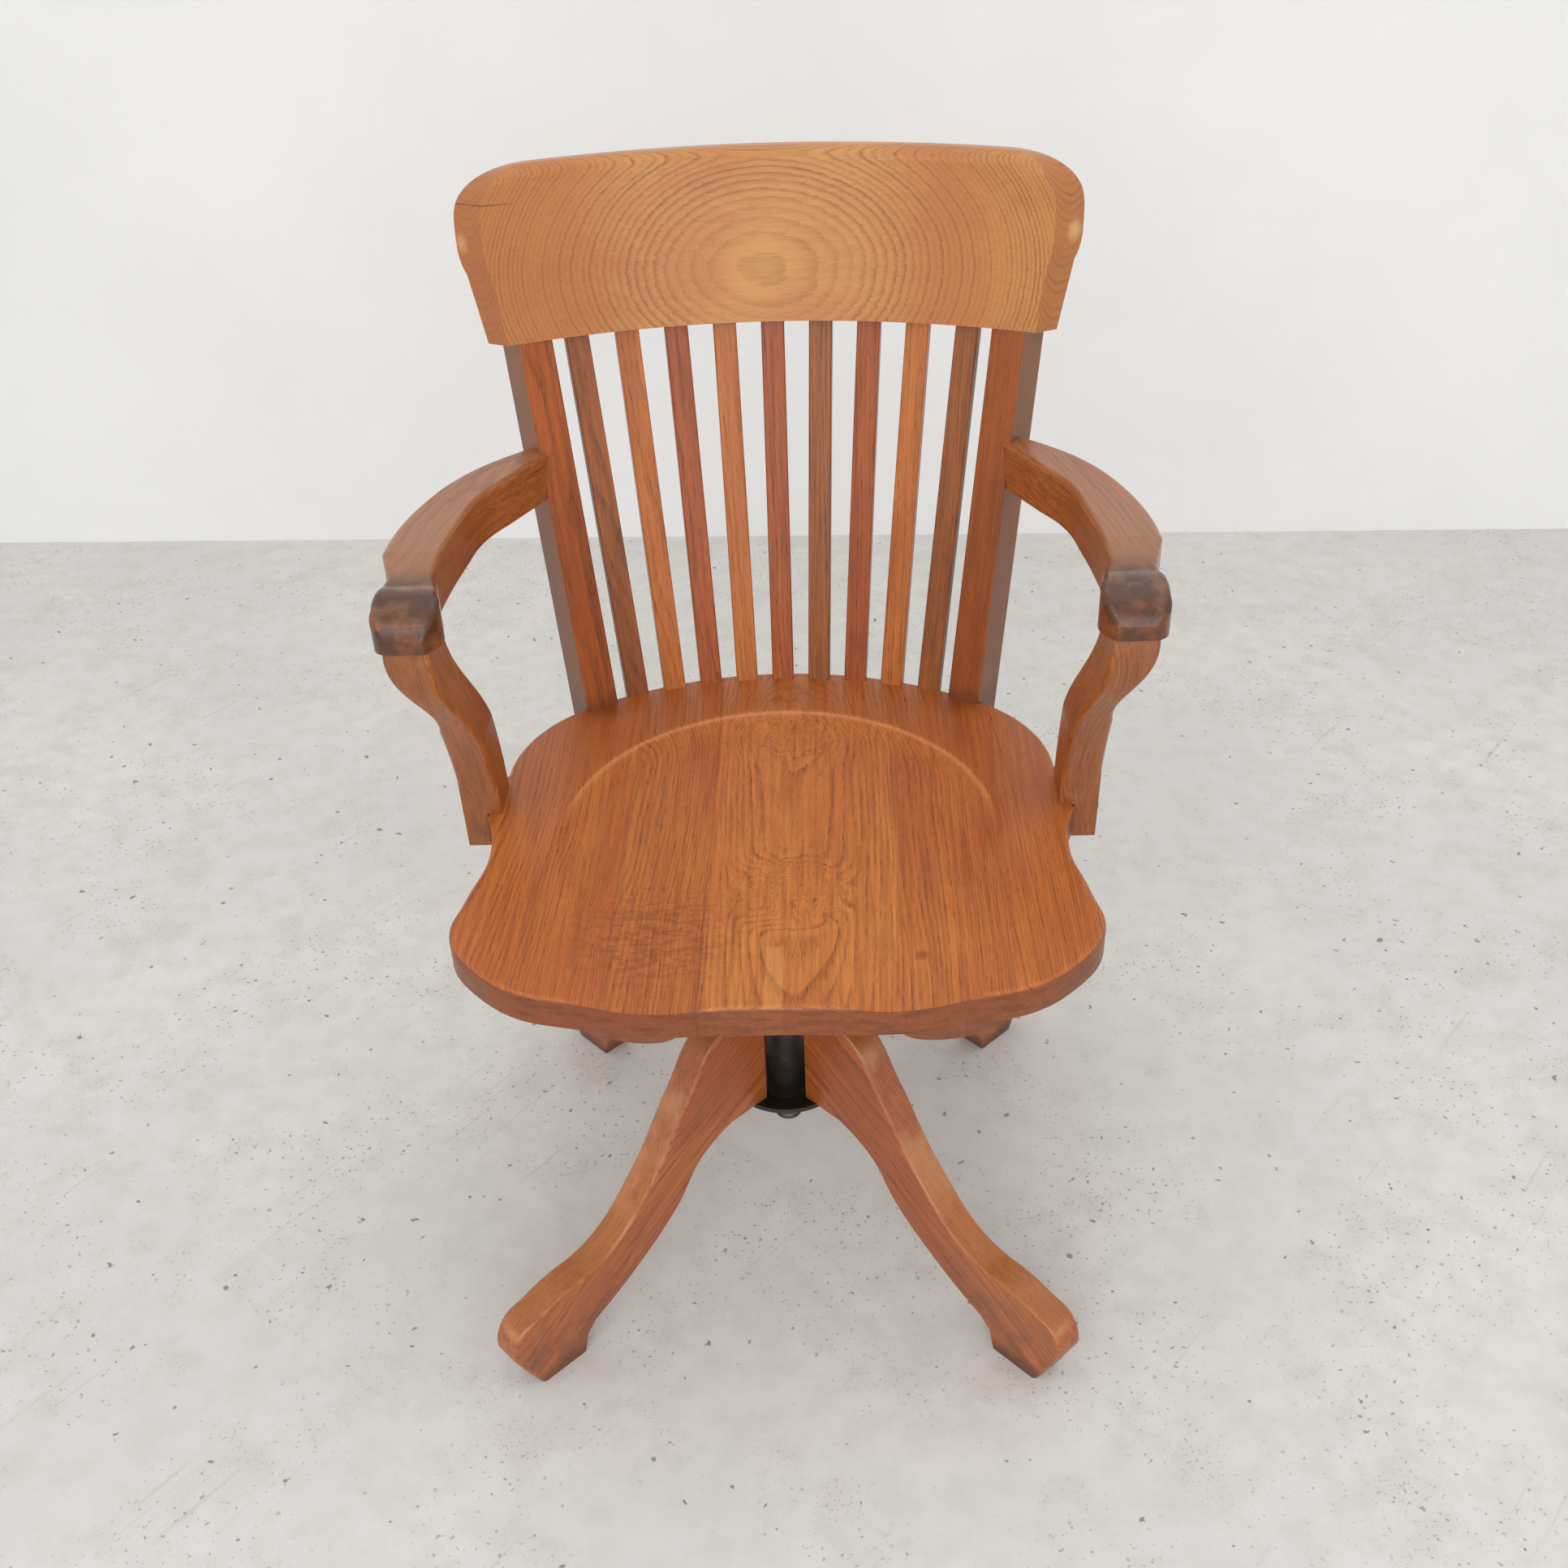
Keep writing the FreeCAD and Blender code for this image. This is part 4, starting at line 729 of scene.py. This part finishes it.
@dataclass
class Arms:
    """The two arms with their dark, handled noses, and the supports under them."""

    nose: Triple = (0.287, -0.004, 0.642)
    nose_reach: float = 0.066
    nose_roughness: float = 0.14

    def arm_material(self, name: str, side: int) -> bpy.types.Material:
        """Make one arm's material, darker and glossier where hands have rubbed its nose.

        Args:
            name: left or right.
            side: 1 for the right arm and -1 for the left one.

        Returns:
            The material.
        """
        grain = Grain((side * 0.27, 0.10, 0.640), (-side * 0.2, 1, 0), (0.3 * side, 0, 1),
                      spacing=0.0035, across_bend=5.0, along_bend=0.2, tilt=0.2)
        g, colour, height = ARM_OAK.board(f"{ARM_OAK.name} {name}", grain)
        x, y, z = self.nose
        handled = g.ball((side * x, y, z), self.nose_reach, 0.6)
        mottled = g.product(handled, g.ramp(g.noise(g.position, 55.0, 3.0), 0.3, 0.62, 0.45, 1.0))
        # Painted sheen: the upward faces, more so towards the front, are blended to a greyish reflection
        # colour.
        painted_top_sheen = g.product(g.ramp(g.axes(g.facing)[2], 0.5, 0.9),
                          g.ramp(g.axes(g.position)[1], 0.02, 0.2, 0.5, 0.2))
        colour = g.blend(painted_top_sheen, colour, linear(150, 112, 84))
        colour = g.stain(colour, mottled, 0.9, linear(64, 38, 27))
        rough = g.ramp(handled, 0.0, 1.0, ARM_OAK.roughness, self.nose_roughness)
        return ARM_OAK.finish(g, colour, height, rough)

    def support_material(self, name: str, side: int) -> bpy.types.Material:
        """Make one support's material, with upright grain and a browner front.

        Args:
            name: left or right.
            side: 1 for the right support and -1 for the left one.

        Returns:
            The material.
        """
        grain = Grain((side * 0.27, 0.05, 0.5), (0.03 * side, -0.35, 1), (side, 0.3, 0),
                      spacing=0.0035, across_bend=3.0, along_bend=0.1, tilt=0.7)
        g, colour, height = ARM_OAK.board(f"support oak {name}", grain)
        nx, ny, nz = g.axes(g.facing)
        outward = g.total(g.product(nx, float(side)), g.product(ny, -0.6))
        front = g.product(g.ramp(outward, 0.3, 0.8),
                          g.ramp(g.axes(g.position)[2], 0.42, 0.58, 0.3, 0.6))
        colour = g.blend(front, colour, linear(120, 72, 36))
        return ARM_OAK.finish(g, colour, height)

    def build(self) -> None:
        """Dress both arms and both supports."""
        for name, side in (("left", -1), ("right", 1)):
            dress(f"arm_{name}", self.arm_material(name, side))
            dress(f"arm_support_{name}", self.support_material(name, side))


@dataclass
class Base:
    """The four legs and the ironwork at the hub."""

    leg_run: float = 0.31
    leg_fall: float = 0.19
    spindle_radius: float = 0.0125
    spindle_foot: float = 0.092
    spindle_top: float = 0.3199
    spindle_chamfer: float = 0.003
    thread_depth: float = 0.0011
    thread_pitch: float = 0.006
    thread_top: float = 0.298
    thread_fade: float = 0.004
    spindle_rows: int = 420
    spindle_columns: int = 48

    def leg_material(self, name: str, angle: float) -> bpy.types.Material:
        """Make one leg's material, with grain along the leg, feet scuffed dark, and painted highlights on
        its upper faces and ridge.

        Args:
            name: the leg's corner.
            angle: the leg's direction in radians.

        Returns:
            The material.
        """
        out = Vector((math.cos(angle), math.sin(angle), 0))
        across = Vector((-out.y, out.x, 0))
        middle = out * 0.18 + Vector((0, 0, 0.15))
        along = out * self.leg_run - Vector((0, 0, self.leg_fall))
        grain = Grain(tuple(middle), tuple(along), tuple(across + out * 0.3), spacing=0.0036,
                      across_bend=4.0, along_bend=0.12, tilt=0.4)
        g, colour, height = LEG_OAK.board(f"{LEG_OAK.name} {name}", grain)
        z = g.axes(g.position)[2]
        up = g.axes(g.facing)[2]
        scuffs = g.ramp(g.noise(g.position, 38.0, 4.0, 0.6), 0.4, 0.62)
        colour = g.stain(colour, g.product(g.fall(z, 0.03, 0.11), scuffs), 0.5, linear(104, 66, 50))
        # Painted highlight: the upward faces are made paler and more golden.
        colour = g.stain(colour, g.ramp(up, 0.35, 0.8), 0.35, linear(172, 108, 48))
        # Painted highlight: pale patches along the rounded edge between the top and side faces.
        painted_ridge_highlight = g.product(g.ramp(up, 0.4, 0.6), g.fall(up, 0.6, 0.8),
                          g.ramp(g.noise(g.position, 14.0, 3.0), 0.48, 0.62))
        colour = g.stain(colour, painted_ridge_highlight, 0.35, linear(212, 158, 108))
        # Darker towards the floor over the lowest 2 cm of the foot.
        colour = g.stain(colour, g.fall(z, 0.004, 0.02), 0.6, linear(60, 40, 30))
        return LEG_OAK.finish(g, colour, height)

    def threaded_spindle(self) -> bpy.types.Object:
        """Make the spindle with its screw thread.

        The radius at height z and angle a is the spindle's radius less the thread depth times a triangle
        wave of z / pitch - a / one turn. Both ends close on the axis, the foot has a chamfer, and the
        thread fades out near both ends.

        Returns:
            The spindle's object.
        """
        rows, columns = self.spindle_rows, self.spindle_columns
        heights = np.linspace(self.spindle_foot, self.spindle_top, rows)
        angles = np.linspace(0, 2 * np.pi, columns, endpoint=False)
        z, a = np.meshgrid(heights, angles, indexing="ij")
        wave = np.abs(((z / self.thread_pitch - a / (2 * np.pi)) % 1.0) * 2 - 1)
        rise = z - self.spindle_foot
        fade = (np.clip((rise - self.thread_fade) / self.thread_fade, 0, 1)
                * np.clip((self.thread_top - z) / self.thread_fade, 0, 1))
        radius = self.spindle_radius - self.thread_depth * np.clip(wave * 1.6 - 0.3, 0, 1) * fade
        radius -= np.clip(self.spindle_chamfer - rise, 0, self.spindle_chamfer)
        sides = np.stack([radius * np.cos(a), radius * np.sin(a), z], axis=-1).reshape(-1, 3)
        points = np.vstack([sides, [[0, 0, self.spindle_foot], [0, 0, self.spindle_top]]])
        row, column = np.meshgrid(np.arange(rows - 1), np.arange(columns), indexing="ij")
        after = (column + 1) % columns
        quads = np.stack([row * columns + column, row * columns + after, (row + 1) * columns + after,
                          (row + 1) * columns + column], axis=-1).reshape(-1, 4)
        ring = np.arange(columns)
        following = (ring + 1) % columns
        last = (rows - 1) * columns
        foot = np.stack([np.full(columns, rows * columns), following, ring], axis=-1)
        cap = np.stack([np.full(columns, rows * columns + 1), last + ring, last + following], axis=-1)
        mesh = bpy.data.meshes.new("threaded_spindle")
        mesh.from_pydata(points.tolist(), [], quads.tolist() + foot.tolist() + cap.tolist())
        mesh.shade_smooth()
        spindle = bpy.data.objects.new("threaded_spindle", mesh)
        bpy.context.scene.collection.objects.link(spindle)
        return spindle

    def build(self) -> None:
        """Dress the legs and the ironwork, and put the threaded spindle in the plain one's place."""
        for name, angle in (("front_right", -45), ("rear_right", 45), ("rear_left", 135),
                            ("front_left", 225)):
            dress(f"leg_{name}", self.leg_material(name, math.radians(angle)))
        steel = WORN_STEEL.material()
        for material, nodes in (
                (BLACK_IRON.material(), ("hub_tube", "hub_dish_plate", "hub_top_plate", "height_nut",
                                         "tilt_yoke", "seat_iron", "tension_knob")),
                (steel, ("height_spindle", "thrust_washer", "pivot_pin", "rod_pin", "tension_rod",
                         "spring_washer", "tension_spring")),
                (SCREW_STEEL.material(), ("leg_screws", "post_screws", "support_screws",
                                          "seat_iron_screws"))):
            for node in nodes:
                dress(node, material)
        spindle = self.threaded_spindle()
        spindle.data.materials.append(steel)
        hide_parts("height_spindle")
        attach(spindle, "spindle")
        LOG.info("built threaded_spindle")


@dataclass(frozen=True)
class Lamp:
    """One soft square lamp: its name, place, the point that it looks at, size and power."""

    name: str
    place: Triple
    target: Triple
    size: float
    power: float

    def hang(self) -> None:
        """Hang the lamp."""
        data = bpy.data.lights.new(self.name, "AREA")
        data.size = self.size
        data.energy = self.power
        item = bpy.data.objects.new(self.name, data)
        item.location = self.place
        look = Vector(self.target) - Vector(self.place)
        item.rotation_euler = look.to_track_quat("-Z", "Y").to_euler()
        bpy.context.scene.collection.objects.link(item)


@dataclass
class Studio:
    """The pale floor, the pale wall, the soft light and the camera."""

    floor_half: float = 6.0
    wall_place: Triple = (-0.03, 1.441, 0.0)
    wall_turn: float = math.radians(-1.66)
    wall_half: float = 5.0
    wall_height: float = 4.0
    eye: Triple = (0.05075, -1.17617, 1.27164)
    ahead: Triple = (-0.030511, 0.826673, -0.561854)
    right: Triple = (0.999382, 0.015505, -0.031458)
    focal_pixels: float = 2100.84
    room_strength: float = 0.86
    lamps: tuple[Lamp, ...] = (
        Lamp("window", (-1.0, -2.9, 2.7), (0, 0.2, 0.3), 2.2, 22.0),
        Lamp("bounce", (0.2, -2.6, 0.8), (0, 0, 0.1), 2.0, 20.0),
        Lamp("ceiling", (0.4, 0.6, 3.0), (0, 0.6, 0.4), 2.6, 12.0))

    def sheet(self, name: str, corners: Sequence[Sequence[float]], material: bpy.types.Material) -> None:
        """Lay one flat sheet of the studio."""
        mesh = bpy.data.meshes.new(name)
        mesh.from_pydata([tuple(corner) for corner in corners], [], [(0, 1, 2, 3)])
        mesh.materials.append(material)
        item = bpy.data.objects.new(name, mesh)
        bpy.context.scene.collection.objects.link(item)

    def floor_material(self) -> bpy.types.Material:
        """Make pale concrete with faint clouds, dusty areas, scrapes, chips and fine specks."""
        g = Graph("pale concrete")
        clouds = g.ramp(g.noise(g.position, 2.2, 5.0, 0.6), 0.3, 0.7)
        fine = g.noise(g.position, 30.0, 4.0, 0.6)
        specks = g.ramp(g.noise(g.position, 190.0, 1.0), 0.66, 0.72)
        grit = g.ramp(g.noise(g.position, 330.0, 1.0), 0.64, 0.7)
        chips = g.ramp(g.noise(g.position, 75.0), 0.7, 0.74)
        area = g.ramp(g.noise(g.position, 5.0, 3.0), 0.42, 0.6)
        dust = g.ramp(g.noise(g.position, 11.0, 4.0, 0.65), 0.5, 0.68)
        slanted = g.turned((0, 0, 0), (0, 0, 0.9))
        scrape = g.ramp(g.noise(slanted, (4.0, 150.0, 4.0)), 0.64, 0.72)
        colour = g.blend(clouds, linear(210, 209, 206), linear(219, 217, 213))
        colour = g.blend(g.ramp(fine, 0.35, 0.7, 0.0, 0.5), colour, linear(201, 198, 192))
        colour = g.stain(colour, dust, 0.3, linear(196, 190, 180))
        colour = g.stain(colour, g.product(scrape, area), 0.35, linear(184, 178, 168))
        colour = g.stain(colour, g.product(specks, area), 0.6, linear(132, 116, 96))
        colour = g.stain(colour, g.product(grit, dust), 0.5, linear(128, 112, 94))
        colour = g.stain(colour, chips, 0.7, linear(104, 92, 80))
        g.join(colour, g.shader.inputs["Base Color"])
        g.shader.inputs["Roughness"].default_value = 0.75
        g.bump(fine, 0.15, 0.001)
        return g.material

    def wall_material(self) -> bpy.types.Material:
        """Make the off-white plaster."""
        g = Graph("off-white plaster")
        clouds = g.ramp(g.noise(g.position, 1.6, 4.0, 0.6), 0.3, 0.7)
        g.join(g.blend(clouds, linear(244, 244, 244), linear(238, 238, 237)),
               g.shader.inputs["Base Color"])
        g.shader.inputs["Roughness"].default_value = 0.8
        return g.material

    def camera(self) -> None:
        """Set the camera where the photograph was taken from."""
        ahead, right = Vector(self.ahead), Vector(self.right)
        data = bpy.data.cameras.new("camera")
        data.sensor_width = SENSOR_WIDTH
        data.lens = self.focal_pixels / IMAGE_SIZE * SENSOR_WIDTH
        item = bpy.data.objects.new("camera", data)
        turn = Matrix((right, right.cross(ahead), -ahead)).transposed().to_4x4()
        item.matrix_world = Matrix.Translation(self.eye) @ turn
        bpy.context.scene.collection.objects.link(item)
        bpy.context.scene.camera = item

    def build(self) -> None:
        """Lay the floor, raise the wall, and set the light and the camera."""
        half = self.floor_half
        self.sheet("floor", ((-half, -half, 0), (half, -half, 0), (half, half, 0), (-half, half, 0)),
                   self.floor_material())
        centre = Vector(self.wall_place)
        run = Vector((math.cos(self.wall_turn), math.sin(self.wall_turn), 0)) * self.wall_half
        rise = Vector((0, 0, self.wall_height))
        self.sheet("wall", (centre - run, centre + run, centre + run + rise, centre - run + rise),
                   self.wall_material())
        world = bpy.data.worlds.new("soft room")
        world.use_nodes = True
        background = world.node_tree.nodes["Background"]
        background.inputs["Color"].default_value = (1.0, 1.0, 1.0, 1.0)
        background.inputs["Strength"].default_value = self.room_strength
        bpy.context.scene.world = world
        for lamp in self.lamps:
            lamp.hang()
        self.camera()
        bpy.context.scene.view_settings.view_transform = "Standard"


def main() -> None:
    """Dress the chair from the seat down, then set it in its studio."""
    logging.basicConfig(level=logging.INFO, format="%(message)s")
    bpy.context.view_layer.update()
    for group in (Seat(), Back(), Arms(), Base(), Studio()):
        group.build()
        LOG.info("finished %s", type(group).__name__)


if __name__ == "__main__":
    main()
